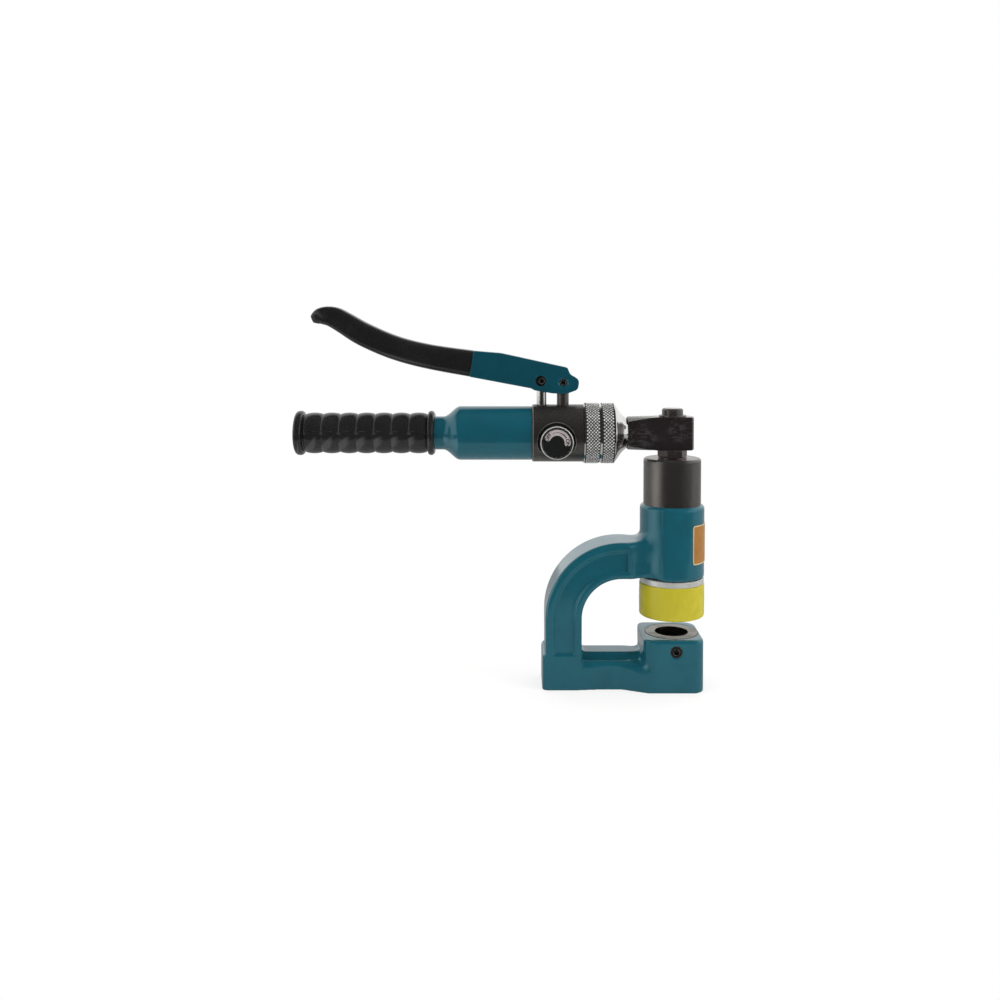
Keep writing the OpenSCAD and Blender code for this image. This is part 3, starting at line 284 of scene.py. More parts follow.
alongX, alongY, alongZ = (1, 0, 0), (0, 1, 0), (0, 0, 1)
castEnamel = makeEnamel("castEnamel", "175462", "154d5a", 7.0)
tubeEnamel = makeEnamel("tubeEnamel", "154f5d", "134a57", 1.5)
leverEnamel = makeEnamel("leverEnamel", "0f4350", "0d3d49", 3.0)
blackBarrel = makeBlackSteel("blackBarrel", alongZ, "6e6b67", "656260", 0.22, 0.28, metallic=0.88)
# Strong, barely broken edge gain: a painted highlight ring round the spot face
blackPump = makeBlackSteel("blackPump", alongX, edge=16.0, breakUp=0.25)
blackForged = makeBlackSteel("blackForged", alongX, "463b39", "38393e", 0.12, 0.24, metallic=0.7, edge=4.0, scuff=0.47,
    patch=24.0, rubbed="5f5d61", stretch=(0.5, 0.5, 1.6))
turnedGrey = makeBlackSteel("turnedGrey", alongX, "7b7b77", "6f6f6b", 0.35, 0.45, metallic=0.4)
blackFitting = makeBlackSteel("blackFitting", alongZ, "6a6562", "5d5956", 0.16, 0.26, edge=5.0)
blackScrew = makeBlackSteel("blackScrew", alongY, "2c2c2e", "262628", 0.25, 0.35, edge=5.0)
# Strong edge gain: a painted highlight on the pin chamfers
pinSteel = makeBlackSteel("pinSteel", alongY, "262526", "1f1f20", 0.25, 0.35, edge=9.0, breakUp=0.3)
chrome = makeBrightSteel("polishedChrome", alongX, "e2e2e0", "d6d6d3")
chromeUpright = makeBrightSteel("polishedRod", alongZ, "dcdcd9", "cdcdc9")
groundSteel = makeBrightSteel("groundSteel", alongZ, "77746c", "656259", 0.24, 0.38, lineScale=9000.0,
    lineStrength=0.15)
bronze = makeBrightSteel("bronze", alongZ, "a98552", "8f6d40", 0.25, 0.4)
platedSteel = makeSkin("platedSteel", "c6c6c3", "b4b4b1", 0.22, 0.32, 900.0, 0.05, 0.00002, Metallic=0.35)
copper = makeBrightSteel("softCopper", alongZ, "7e6c66", "63554f", 0.3, 0.45)
knobEdge = makeSkin("knobEdge", "b4b4b2", "a4a4a2", 0.35, 0.45, 900.0, 0.1, 0.00002, Metallic=0.35)
gripRubber = makeSkin("gripRubber", "1d1d1d", "202020", 0.17, 0.23, 700.0, 0.06, 0.00003, Specular_IOR_Level=0.5)
sealRubber = makeSkin("sealRubber", "1a1a1a", "242424", 0.5, 0.65, 1500.0, 0.2, 0.00003)
vinyl = makeSkin("dippedVinyl", "1a1a1a", "1e1e1f", 0.2, 0.27, 300.0, 0.12, 0.00005)
urethane = makeSkin("yellowUrethane", "b9ae1d", "b0a51a", 0.3, 0.4, 300.0, 0.15, 0.00005, Subsurface_Weight=0.1,
    Subsurface_Scale=0.004, Subsurface_Radius=(1.0, 0.8, 0.2))
knobBlack = makeBlackSteel("knobBlack", alongY, "232524", "1c1e1d", 0.28, 0.38, metallic=0.3)
labelPaper = makeSkin("dialLabel", "a89f9f", "9c9494", 0.3, 0.4, 900.0, 0.1, 0.00002)
labelInk = makeSkin("dialInk", "1d1b1b", "242121", 0.4, 0.5, 900.0, 0.1, 0.00002)
plateOrange = makeSkin("plateOrange", "ab7637", "a06d31", 0.28, 0.42, 700.0, 0.15, 0.00003, Metallic=0.3)
plateRim = makeSkin("plateRim", "d9c49a", "cdb487", 0.3, 0.4, 700.0, 0.1, 0.00003, Metallic=0.35)
print("materials made:", len(bpy.data.materials))


# A piece's dictionary: counts, shares and angles as they are, lengths from millimetres to metres
def sizes(others, **lengths):
    return {**others, **{key: value * mm for key, value in lengths.items()}}


def linkObject(name, data):
    made = bpy.data.objects.new(name, data)
    bpy.context.scene.collection.objects.link(made)
    return made


# New mesh piece that moves with a body and may stand for CAD nodes
def addPiece(name, mesh, body, material, standsFor=()):
    piece = linkObject(name, mesh)
    mesh.materials.clear()
    mesh.materials.append(material)
    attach(piece, body)
    if standsFor:
        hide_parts(*standsFor)
    return piece


# Smooth faces, with edges sharper than the angle kept crisp
def shadeByAngle(mesh, degrees):
    work = bmesh.new()
    work.from_mesh(mesh)
    limit = math.radians(degrees)
    for face in work.faces:
        face.smooth = True
    for edge in work.edges:
        edge.smooth = len(edge.link_faces) != 2 or edge.calc_face_angle(0.0) < limit
    work.to_mesh(mesh)
    work.free()


# Mesh of finished work, faces turned outwards, shaded by an angle if there is one
def meshFrom(work, name, crisp=None):
    bmesh.ops.recalc_face_normals(work, faces=work.faces)
    mesh = bpy.data.meshes.new(name)
    work.to_mesh(mesh)
    work.free()
    if crisp:
        shadeByAngle(mesh, crisp)
    return mesh


# Faces between closed rings of points, and over the first and the last if capped
def loft(work, rings, capped=False):
    for low, high in zip(rings, rings[1:]):
        for k in range(len(low)):
            n = (k + 1) % len(low)
            work.faces.new((low[k], low[n], high[n], high[k]))
    if capped:
        work.faces.new(rings[0])
        work.faces.new(rings[-1])


# Corner points [a, b, radius] turned into an outline with arcs
def softOutline(corners, steps=6, closed=True):
    points = []
    count = len(corners)
    for i, corner in enumerate(corners):
        here, radius = Vector(corner[:2]), corner[2] if len(corner) > 2 else 0
        if radius == 0 or (not closed and i in (0, count - 1)):
            points.append(tuple(here))
            continue
        before = (Vector(corners[i - 1][:2]) - here).normalized()
        after = (Vector(corners[(i + 1) % count][:2]) - here).normalized()
        half = before.angle(after) / 2
        centre = here + (before + after).normalized() * (radius / math.sin(half))
        first = here + before * (radius / math.tan(half)) - centre
        turn = first.angle_signed(here + after * (radius / math.tan(half)) - centre)
        for k in range(steps + 1):
            points.append(tuple(centre + Matrix.Rotation(-turn * k / steps, 2) @ first))
    return points


# Even steps from 0 to 1
def shares(count):
    return [k / count for k in range(count + 1)]


# Smooth curve through rows of numbers, from one of them to the last
def curveThrough(rows, steps, first=0):
    path = []
    for i in range(first, len(rows) - 1):
        p, q, r, s = (Vector(rows[max(0, min(len(rows) - 1, k))]) for k in (i - 1, i, i + 1, i + 2))
        for t in shares(steps)[:-1]:
            path.append(0.5 * (2 * q + (r - p) * t + (2 * p - 5 * q + 4 * r - s) * t * t
                + (3 * q - p - 3 * r + s) * t * t * t))
    return path + [Vector(rows[-1])]


# Maps a place along and a point round a turning axis into the frame
def turnedPoint(axis, origin, along, radius, angle):
    u, v = radius * math.cos(angle), radius * math.sin(angle)
    place = {"X": (along, u, v), "Y": (u, along, v), "Z": (u, v, along)}[axis]
    return Vector(place) + Vector(origin)


# Ring round a turning axis, one point for each radius
def addRing(work, axis, origin, along, radii):
    return [work.verts.new(turnedPoint(axis, origin, along, r, math.tau * k / len(radii))) for k, r in enumerate(radii)]


# Mesh turned from points (along, radius), where radius 0 is a point on the axis; closed joins the last to the first
def turnedMesh(name, profile, axis, origin, steps, crisp=None, closed=True):
    work = bmesh.new()
    rings = [addRing(work, axis, origin, along, [radius] * (steps if radius else 1)) for along, radius in profile]
    pairs = list(zip(rings, rings[1:])) + ([(rings[-1], rings[0])] if closed else [])
    for low, high in pairs:
        for k in range(steps):
            n = (k + 1) % steps
            corners = [low[k % len(low)], low[n % len(low)], high[n % len(high)], high[k % len(high)]]
            unique = list(dict.fromkeys(corners))
            if len(unique) > 2:
                work.faces.new(unique)
    return meshFrom(work, name, crisp)


# Copy of a CAD node's mesh, welded, for pieces that keep its shape
def copyOfNode(node, name, weld=1e-6):
    mesh = frame["nodes"][node].data.copy()
    mesh.name = name
    work = bmesh.new()
    work.from_mesh(mesh)
    bmesh.ops.remove_doubles(work, verts=work.verts, dist=weld)
    work.to_mesh(mesh)
    work.free()
    return mesh


# Mesh of a helper object with its modifiers or letters worked out; the helper goes
def meshOfObject(stand):
    mesh = bpy.data.meshes.new_from_object(stand.evaluated_get(bpy.context.evaluated_depsgraph_get()))
    bpy.data.objects.remove(stand)
    return mesh


# Every edge softened as forging, casting and paint leave it
def softened(rough, look):
    stand = linkObject("shaping", rough)
    remesh = stand.modifiers.new("remesh", "REMESH")
    remesh.mode, remesh.voxel_size = "VOXEL", look["voxel"]
    even = stand.modifiers.new("even", "SMOOTH")
    even.factor, even.iterations = 0.5, look["smooth"]
    mesh = meshOfObject(stand)
    mesh.name = rough.name
    for face in mesh.polygons:
        face.use_smooth = True
    return mesh


def pointsOf(mesh):
    points = np.empty(len(mesh.vertices) * 3)
    mesh.vertices.foreach_get("co", points)
    return points.reshape(-1, 3)


def setPoints(mesh, points):
    mesh.vertices.foreach_set("co", points.ravel())
    mesh.update()


# Evens out a mesh round some places, most at the middle of each; pull is the most a point moves in a round
def softenNear(mesh, spots, margin=1.15, pull=0.5):
    points = pointsOf(mesh)
    ends = np.empty(len(mesh.edges) * 2, dtype=np.int32)
    mesh.edges.foreach_get("vertices", ends)
    ends = ends.reshape(-1, 2)
    for x, y, z, reach, rounds in spots:
        far = np.linalg.norm(points - np.array((x, y, z)) * mm, axis=1) / (reach * mm)
        ids, local = np.unique(ends[(far[ends] < margin).all(axis=1)], return_inverse=True)
        one, two = local.reshape(-1, 2).T
        spot, count = points[ids], len(ids)
        share = np.clip(1 - far[ids], 0, 1)[:, None]
        share = pull * share * share * (3 - 2 * share)
        degree = np.bincount(one, minlength=count) + np.bincount(two, minlength=count)
        for turn in range(rounds):
            total = [np.bincount(one, spot[two, i], count) + np.bincount(two, spot[one, i], count) for i in range(3)]
            spot = spot + share * (np.stack(total, axis=1) / degree[:, None] - spot)
        points[ids] = spot
    setPoints(mesh, points)


# Casting: waist and spots in millimetres. Each spot is a place, on both sides, its reach and its rounds of evening:
# where the arch meets the head, the post's foot, and the die block's front corners
castingLook = {"voxel": 0.7 * mm, "smooth": 8, "waist": 16.8, "waistWide": 30, "waistFrom": -24, "waistTo": -44,
    "waistFront": -12, "waistLow": 85, "headRound": 27.3, "spots": [
        *[(-23, 18.5, z, 13, 60) for z in (117.2, 109.2, 101.2)], (-23, 20, 125.2, 20, 240), (-23, 20, 94.2, 14, 140),
        (-29, 15, 25, 15, 120), (-26, 24, 22, 13, 120), *[(23.5, 28, z, 10, 50) for z in (6, 15, 24, 33, 42)]]}


# The arch's cheeks run in a little where they meet the head, so that the head's round shows further down
def narrowWaist(mesh, look):
    points = pointsOf(mesh)
    x, y = points[:, 0] / mm, points[:, 1] / mm
    t = np.clip((look["waistFrom"] - x) / (look["waistFrom"] - look["waistTo"]), 0, 1)
    limit = look["waist"] + (look["waistWide"] - look["waist"]) * t * t * t
    limit = np.maximum(limit, np.sqrt(np.clip(look["headRound"] ** 2 - x * x, 0, None)))
    inside = (x < look["waistFront"]) & (points[:, 2] > look["waistLow"] * mm)
    points[:, 1] = np.where(inside, np.clip(y, -limit, limit), y) * mm
    setPoints(mesh, points)


def makeCasting():
    look = castingLook
    mesh = softened(copyOfNode("c_frame", "frameCasting"), look)
    narrowWaist(mesh, look)
    softenNear(mesh, [(x, side * y, *rest) for side in (-1, 1) for x, y, *rest in look["spots"]])
    addPiece("frame_casting", mesh, "frame", castEnamel, ["c_frame"])


leverLook = sizes({"smooth": 5}, voxel=0.5)


def makeLever():
    mesh = softened(copyOfNode("lever", "leverArm"), leverLook)
    addPiece("lever_arm", mesh, "lever", leverEnamel, ["lever"])


# Forged swivel: both sides milled flat, grey turned cone showing above and below the flats
forgingLook = sizes({"smooth": 4, "coneLean": 0.8, "stretch": 1.04}, voxel=0.4, flat=9.85, coneEnd=-16.5)


def makeForging():
    look = forgingLook
    rough = copyOfNode("swivel_block", "swivelRough")
    work = bmesh.new()
    work.from_mesh(rough)
    for side in (-1, 1):
        cut = bmesh.ops.bisect_plane(work, geom=work.verts[:] + work.edges[:] + work.faces[:],
            plane_co=(0, side * look["flat"], 0), plane_no=(0, side, 0), clear_outer=True)
        bmesh.ops.edgenet_fill(work, edges=[e for e in cut["geom_cut"] if isinstance(e, bmesh.types.BMEdge)])
    for vert in work.verts:
        vert.co.z = pumpAxis.z + (vert.co.z - pumpAxis.z) * look["stretch"]
    work.to_mesh(rough)
    work.free()
    mesh = softened(rough, look)
    addPiece("swivel_forging", mesh, "swivel_head", blackForged, ["swivel_block"])
    mesh.materials.append(turnedGrey)
    lean = look["coneLean"]
    for face in mesh.polygons:
        if face.center.x < look["coneEnd"] and abs(face.normal.y) < lean and face.normal.x > -lean:
            face.material_index = 1


# Stud turned so that its flats lie as they were left, and a full circlip under its cap
studLook = sizes({"turn": -15, "clipGap": 9, "steps": 160, "crisp": 30}, clipOut=11.7, clipIn=8.3, clipThick=1.5,
    clipEdge=0.3)


def makeStud():
    look = studLook
    mesh = copyOfNode("swivel_stud", "swivelStud")
    mesh.transform(Matrix.Rotation(math.radians(look["turn"]), 4, "Z"))
    shadeByAngle(mesh, look["crisp"])
    addPiece("swivel_stud_set", mesh, "frame", blackFitting, ["swivel_stud"])
    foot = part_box("stud_circlip")[0].z
    top, inner, outer, edge = foot + look["clipThick"], look["clipIn"], look["clipOut"], look["clipEdge"]
    outline = softOutline([(foot, inner), (foot, outer, edge), (top, outer, edge), (top, inner)], 3)
    steps = look["steps"]
    first = round(steps * look["clipGap"] / 360)
    work = bmesh.new()
    rings = [[work.verts.new(turnedPoint("Z", (0, 0, 0), z, r, math.tau * k / steps)) for z, r in outline]
        for k in range(first, steps + 1 - first)]
    loft(work, rings, capped=True)
    clip = meshFrom(work, "circlip", look["crisp"])
    addPiece("stud_circlip_ring", clip, "frame", blackFitting, ["stud_circlip"])


# Pins with turned chamfers and dished ends, and the plunger's eye between the lever's cheeks
pinLook = sizes({"crisp": 30}, chamfer=0.7, dish=0.25, rim=0.5, eye=6.2, eyeHalf=5.2, eyeEdge=0.6, eyeBore=3.04)


def makePins():
    look = pinLook
    cut, dish = look["chamfer"], look["dish"]
    for node, body in (("fulcrum_pin", "pump"), ("plunger_pin", "plunger")):
        low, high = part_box(node)
        centre, radius = (low + high) / 2, (high.x - low.x) / 2
        face, floor = radius - cut, radius - cut - look["rim"]
        profile = [(low.y + dish, 0), (low.y + dish, floor), (low.y, face), (low.y + cut, radius),
            (high.y - cut, radius), (high.y, face), (high.y - dish, floor), (high.y - dish, 0)]
        origin = (centre.x, 0, centre.z)
        mesh = turnedMesh(node + "Turned", profile, "Y", origin, 48, look["crisp"], closed=False)
        addPiece(node + "_turned", mesh, body, pinSteel, [node])
    # The eye sits on the plunger's pin, the last one made
    half, outer, bore, edge = look["eyeHalf"], look["eye"], look["eyeBore"], look["eyeEdge"]
    ring = softOutline([(-half, bore), (-half, outer, edge), (half, outer, edge), (half, bore)], 4)
    mesh = turnedMesh("plungerEye", ring, "Y", origin, 64, look["crisp"])
    addPiece("plunger_eye", mesh, "plunger", blackFitting)


# Sleeve: rows are distance left of the pivot, height above it, half depth, half width, all in millimetres.
# The tip closes in over two short stations, each so many steps on and so much smaller
sleeveLook = {
    "line": [(58, 13.2, 11.6, 10), (78, 16, 11.2, 10), (115, 22.1, 10.4, 10.4), (143, 29.4, 10.1, 10.6),
        (169, 40.4, 10, 10.4), (186, 50.4, 9.4, 10), (194, 54.8, 9, 9.6), (200.5, 56.6, 8.1, 8.9),
        (206.5, 56.5, 7, 7.6), (211, 55, 5.3, 5.4), (214, 53.7, 3.2, 2.8)],
    "tip": [(1.6, 0.75), (2.6, 0.4)], "steps": 10, "sides": 40, "boxiness": 0.55, "swell": 0.15, "crisp": 50}


def makeSleeve():
    look = sleeveLook
    path = curveThrough(look["line"], look["steps"], first=1)
    lean, last = path[-1] - path[-2], path[-1]
    for grow, shrink in look["tip"]:
        path.append(Vector((*(last + lean * grow)[:2], *(last * shrink)[2:])))

    def boxy(share, size):
        return math.copysign(abs(share) ** look["boxiness"], share) * (size + look["swell"])

    work = bmesh.new()
    rings = []
    for i, (left, up, deep, wide) in enumerate(path):
        ahead = Vector((path[min(i + 1, len(path) - 1)] - path[max(i - 1, 0)])[:2]).normalized()
        ring = []
        for k in range(look["sides"]):
            a = math.tau * (k + 0.5) / look["sides"]
            across, rise = boxy(math.cos(a), wide), boxy(math.sin(a), deep)
            point = Vector((rise * ahead[1] - left, across, up + rise * ahead[0]))
            ring.append(work.verts.new(leverPivot + point * mm))
        rings.append(ring)
    loft(work, rings, capped=True)
    mesh = meshFrom(work, "sleeve", look["crisp"])
    addPiece("lever_dip_sleeve", mesh, "lever", vinyl, ["lever_sleeve"])


# Coupling nut with a real diamond knurl in two bands. Plain rows are distance behind the knurl's end and below the
# crests, flare rows are place from the tip and radius in millimetres
nutLook = sizes({"columns": 108, "plainRows": [(0.64 * mm, 0.1 * mm), (0.08 * mm, 0.25 * mm)], "flareSteps": 4,
    "crisp": 24, "flare": [(-11.0, 25.4), (-9.9, 24.2), (-8.6, 22.4), (-7.1, 20.3), (-5.5, 18.1), (-3.9, 16.2),
        (-2.2, 14.6), (-1.0, 13.6), (0, 12.9)]}, pitch=1.4, depth=0.75, proud=0.35, edge=0.9, knurlFrom=1.08,
    plain=0.8, lip=1.4, lipBore=24.6, seatBore=19.7225, groove=1.8, grooveFloor=1.08, grooveDepth=0.9,
    grooveShift=1.1, bore=8.05)


# Rings of the nut as place, radius and, in the knurl, which points are crests
def nutRings(look, seat, back, tip, grooveX, knurlEnd, radius):
    root, half, floor = radius - look["depth"], look["groove"] / 2, look["grooveFloor"] / 2

    def knurl(start, end):
        count = max(2, round((end - start) / look["pitch"]))
        return [(start + (end - start) * j / count, root, j % 2 if 0 < j < count else None) for j in range(count + 1)]

    rings = [(seat, look["seatBore"], None), (seat, look["lipBore"], None), (back, look["lipBore"], None),
        (back, radius - look["edge"], None), (back + look["edge"], root, None)]
    rings += knurl(back + look["knurlFrom"], grooveX - half)
    rings += [(grooveX + shift, radius - look["grooveDepth"], None) for shift in (-floor, floor)]
    rings += knurl(grooveX + half, knurlEnd - look["plain"])
    rings += [(knurlEnd - behind, radius - below, None) for behind, below in look["plainRows"]]
    # Domed shoulder and the hollow flare down to the nose
    rings += [(tip + x * mm, r * mm, None) for x, r in curveThrough(look["flare"], look["flareSteps"])]
    return rings + [(tip, look["bore"], None)]


def makeNut():
    look = nutLook
    low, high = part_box("coupling_nut")
    radius = (high.z - low.z) / 2 + look["proud"]
    seat, tip = low.x, high.x
    back, knurlEnd = seat - look["lip"], tip + look["flare"][0][0] * mm
    grooveX = (knurlEnd + back) / 2 + look["grooveShift"]
    rings = nutRings(look, seat, back, tip, grooveX, knurlEnd, radius)
    columns = look["columns"]
    work = bmesh.new()
    made = [addRing(work, "X", pumpLine, x, [r + (look["depth"] if crest is not None and (k + crest) % 2 == 0 else 0)
        for k in range(columns)]) for x, r, crest in rings]
    for j, a in enumerate(made):
        b = made[(j + 1) % len(made)]
        here, ahead = rings[j][2], rings[(j + 1) % len(rings)][2]
        for k in range(columns):
            n = (k + 1) % columns
            if here is None and ahead is None:
                faces = [(a[k], a[n], b[n], b[k])]
            elif (k + (here if here is not None else ahead + 1)) % 2 == 0:
                faces = [(a[k], a[n], b[k]), (a[n], b[n], b[k])]
            else:
                faces = [(a[k], a[n], b[n]), (a[k], b[n], b[k])]
            for corners in faces:
                work.faces.new(corners)
    mesh = meshFrom(work, "knurledNut", look["crisp"])
    knurlChrome = makeKnurlChrome("knurledChrome", radius - look["depth"], radius)
    addPiece("knurled_coupling_nut", mesh, "pump", knurlChrome, ["coupling_nut"])
    mesh.materials.append(chrome)
    for face in mesh.polygons:
        x = face.center.x
        if x > knurlEnd - look["plain"] or x < back + look["edge"] or abs(x - grooveX) < look["groove"] / 2:
            face.material_index = 1


# Rubber grip: rolled flanges, a deep groove behind each, rounded ribs and a mould seam
gripLook = sizes({"ribs": 7, "ribPower": 0.6, "steps": 14, "backRounds": (3.2 * mm, 2.8 * mm, 0.5 * mm),
    "frontRounds": (0.4 * mm, 2.4 * mm, 3.0 * mm), "roundSteps": 8, "sides": 180, "crisp": 40}, flange=19.0,
    flangeBack=7.2, flangeFront=5.8, grooveBack=1.2, grooveFront=0.8, crest=17.5, valley=16.0, groove=15.0,
    bore=13.03, endWall=4.0, seam=0.25, seamHigh=3.0, seamHalf=0.35, seamClear=0.4)


def makeGrip():
    look = gripLook
    low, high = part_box("handle_grip")
    back, front = low.x, high.x
    backEdge, frontEdge = back + look["flangeBack"], front - look["flangeFront"]
    ribsFrom, ribsTo = backEdge + look["grooveBack"], frontEdge - look["grooveFront"]
    pitch = (ribsTo - ribsFrom) / look["ribs"]
    flange, groove, valley = look["flange"], look["groove"], look["valley"]
    one, two, three = look["backRounds"]
    profile = softOutline([(back, 0), (back, flange, one), (backEdge, flange, two), (backEdge, groove, three),
        (ribsFrom, groove)], look["roundSteps"], closed=False)
    for n in range(look["ribs"]):
        for t in shares(look["steps"]):
            rise = math.sin(math.pi * t) ** look["ribPower"]
            profile.append((ribsFrom + pitch * (n + t), valley + (look["crest"] - valley) * rise))
    one, two, three = look["frontRounds"]
    profile += softOutline([(ribsTo, groove), (frontEdge, groove, one), (frontEdge, flange, two),
        (front, flange, three), (front, look["bore"])], look["roundSteps"], closed=False)
    profile += [(back + look["endWall"], look["bore"]), (back + look["endWall"], 0)]
    mesh = turnedMesh("grip", profile, "X", pumpLine, look["sides"], closed=False)
    # A thin flash line where the two halves of the mould met
    for vert in mesh.vertices:
        y, z = vert.co.y, vert.co.z - pumpAxis.z
        if math.hypot(y, z) > groove + look["seamClear"] and abs(z - look["seamHigh"]) < look["seamHalf"]:
            vert.co.y += math.copysign(look["seam"], y)
    shadeByAngle(mesh, look["crisp"])
    addPiece("rubber_hand_grip", mesh, "pump", gripRubber, ["handle_grip"])


# Reservoir: drawn tube with an ogee shoulder and a neck
tubeLook = sizes({"steps": 28, "sides": 160, "crisp": 30}, radius=23.0, edge=0.5, neck=14.2, bore=20.0, stem=13.0,
    wall=3.0, shoulder=15.0, neckLength=6.7, straight=61.0)


def makeReservoir():
    look = tubeLook
    low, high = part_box("reservoir_tube")
    front, stemEnd = high.x, low.x
    back = front - look["straight"]
    neckX = back - look["shoulder"]
    neckEnd, stemFloor = neckX - look["neckLength"], stemEnd + look["wall"]
    radius, neck, stem, edge = look["radius"], look["neck"], look["stem"], look["edge"]
    profile = [(front, look["bore"]), (front, radius - edge), (front - edge, radius)]
    for t in shares(look["steps"]):
        profile.append((back - look["shoulder"] * t, neck + (radius - neck) * (1 + math.cos(math.pi * t)) / 2))
    profile += [(neckEnd, neck), (neckEnd, stem), (stemEnd, stem), (stemEnd, 0), (stemFloor, 0),
        (stemFloor, stem - look["wall"]), (neckX, stem - look["wall"]), (back, look["bore"])]
    mesh = turnedMesh("reservoir", profile, "X", pumpLine, look["sides"], look["crisp"])
    addPiece("reservoir_body", mesh, "pump", tubeEnamel, ["reservoir_tube"])


# Stripper: cast urethane ring, slightly barrelled between its soft edges
stripperLook = sizes({"barrelSteps": 8, "keep": 0.82, "sides": 160, "crisp": 40}, edge=1.6, topEdge=0.9, barrel=0.2,
    straight=10, bore=14.35, shy=0.05, trim=1.2)


def makeStripper():
    look = stripperLook
    low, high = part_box("stripper")
    radius, bore, foot, barrel = high.x - look["shy"], look["bore"], low.z + look["trim"], look["barrel"]
    outline = softOutline([(foot, bore), (foot, radius, look["edge"]), (high.z, radius, look["topEdge"]),
        (high.z, bore)])
    rows = []
    for i, (along, r) in enumerate(outline):
        rows.append((along, r))
        rise = outline[i + 1][0] - along if i + 1 < len(outline) else 0
        if rise > look["straight"]:
            for t in shares(look["barrelSteps"])[1:-1]:
                rows.append((along + rise * t, r + barrel * math.sin(math.pi * t) - barrel / 2))
    mesh = turnedMesh("stripperRing", rows, "Z", (0, 0, 0), look["sides"], look["crisp"])
    piece = addPiece("urethane_stripper", mesh, "ram", urethane, ["stripper"])
    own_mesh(piece)


# Return spring: the CAD coil, shaded by angle, moving with the frame
springLook = sizes({"crisp": 40}, stroke=18)


def makeSpring():
    mesh = copyOfNode("return_spring", "returnCoil")
    shadeByAngle(mesh, springLook["crisp"])
    piece = addPiece("return_coil", mesh, "frame", groundSteel, ["return_spring"])
    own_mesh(piece)


# Release knob: fine straight knurl on the rim, bright turned edge, sunk face, dial label
knobLook = sizes({"flutes": 60, "crisp": 28}, radius=14.0, flute=0.3, edge=0.9, rim=1.0, sink=0.5, hole=3.03,
    holeFloor=3, lipBack=0.2, lipOut=0.15, lipIn=0.1, sinkSlope=0.2, dome=0.02, domeRadius=3.0, brightBand=0.35)


def makeKnob():
    look = knobLook
    low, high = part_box("release_knob")
    front, back = low.y, high.y
    radius, edge, columns = look["radius"], look["edge"], look["flutes"] * 4
    face, rim = front + look["sink"], radius - edge
    shelf = rim - look["rim"]
    rings = [(back, look["hole"], 0), (back, rim, 0), (back - edge, radius, 1), (front + edge, radius, 1),
        (front + look["lipBack"], rim + look["lipOut"], 0), (front, rim - look["lipIn"], 0), (front, shelf, 0),
        (face, shelf - look["sinkSlope"], 0), (face - look["dome"], look["domeRadius"], 0)]
    work = bmesh.new()
    made = [addRing(work, "Y", knobLine, y, [r - (look["flute"] if fluted and k % 4 in (2, 3) else 0)
        for k in range(columns)]) for y, r, fluted in rings]
    loft(work, made)
    work.faces.new(made[-1])
    hub = addRing(work, "Y", knobLine, face + look["holeFloor"], [look["hole"]] * columns)
    loft(work, [made[0], hub])
    work.faces.new(hub)
    mesh = meshFrom(work, "knob", look["crisp"])
    addPiece("release_knob_turned", mesh, "release", knobBlack, ["release_knob"])
    mesh.materials.append(knobEdge)
    for polygon in mesh.polygons:
        distance = math.hypot(polygon.center.x - knobAxis.x, polygon.center.z - knobAxis.z)
        if polygon.center.y < front + edge and distance > rim - look["brightBand"]:
            polygon.material_index = 1
    makeLabel(face - labelLook["proud"])


# Dial label: a curved strip with round ends, two words and a line that grows from shut to open; angles in degrees
labelLook = sizes({"from": 152.5, "to": -2.5, "steps": 40, "endSteps": 12, "words": [("dial_word_off", "OFF", 148),
    ("dial_word_on", "ON", 2)], "wedgeFrom": 118, "wedgeTo": 28, "wedgeSteps": 24}, inner=6.2, outer=11.2, thick=0.12,
    proud=0.03, letter=4.2, bold=0.11, letterThick=0.02, letterLift=0.01, wedgeThin=0.15, wedgeGrow=0.75,
    wedgeLift=0.03, wedgeThick=0.02)


def facePoint(depth, radius, degrees):
    a = math.radians(degrees)
    return Vector((knobAxis.x + radius * math.cos(a), depth, knobAxis.z + radius * math.sin(a)))


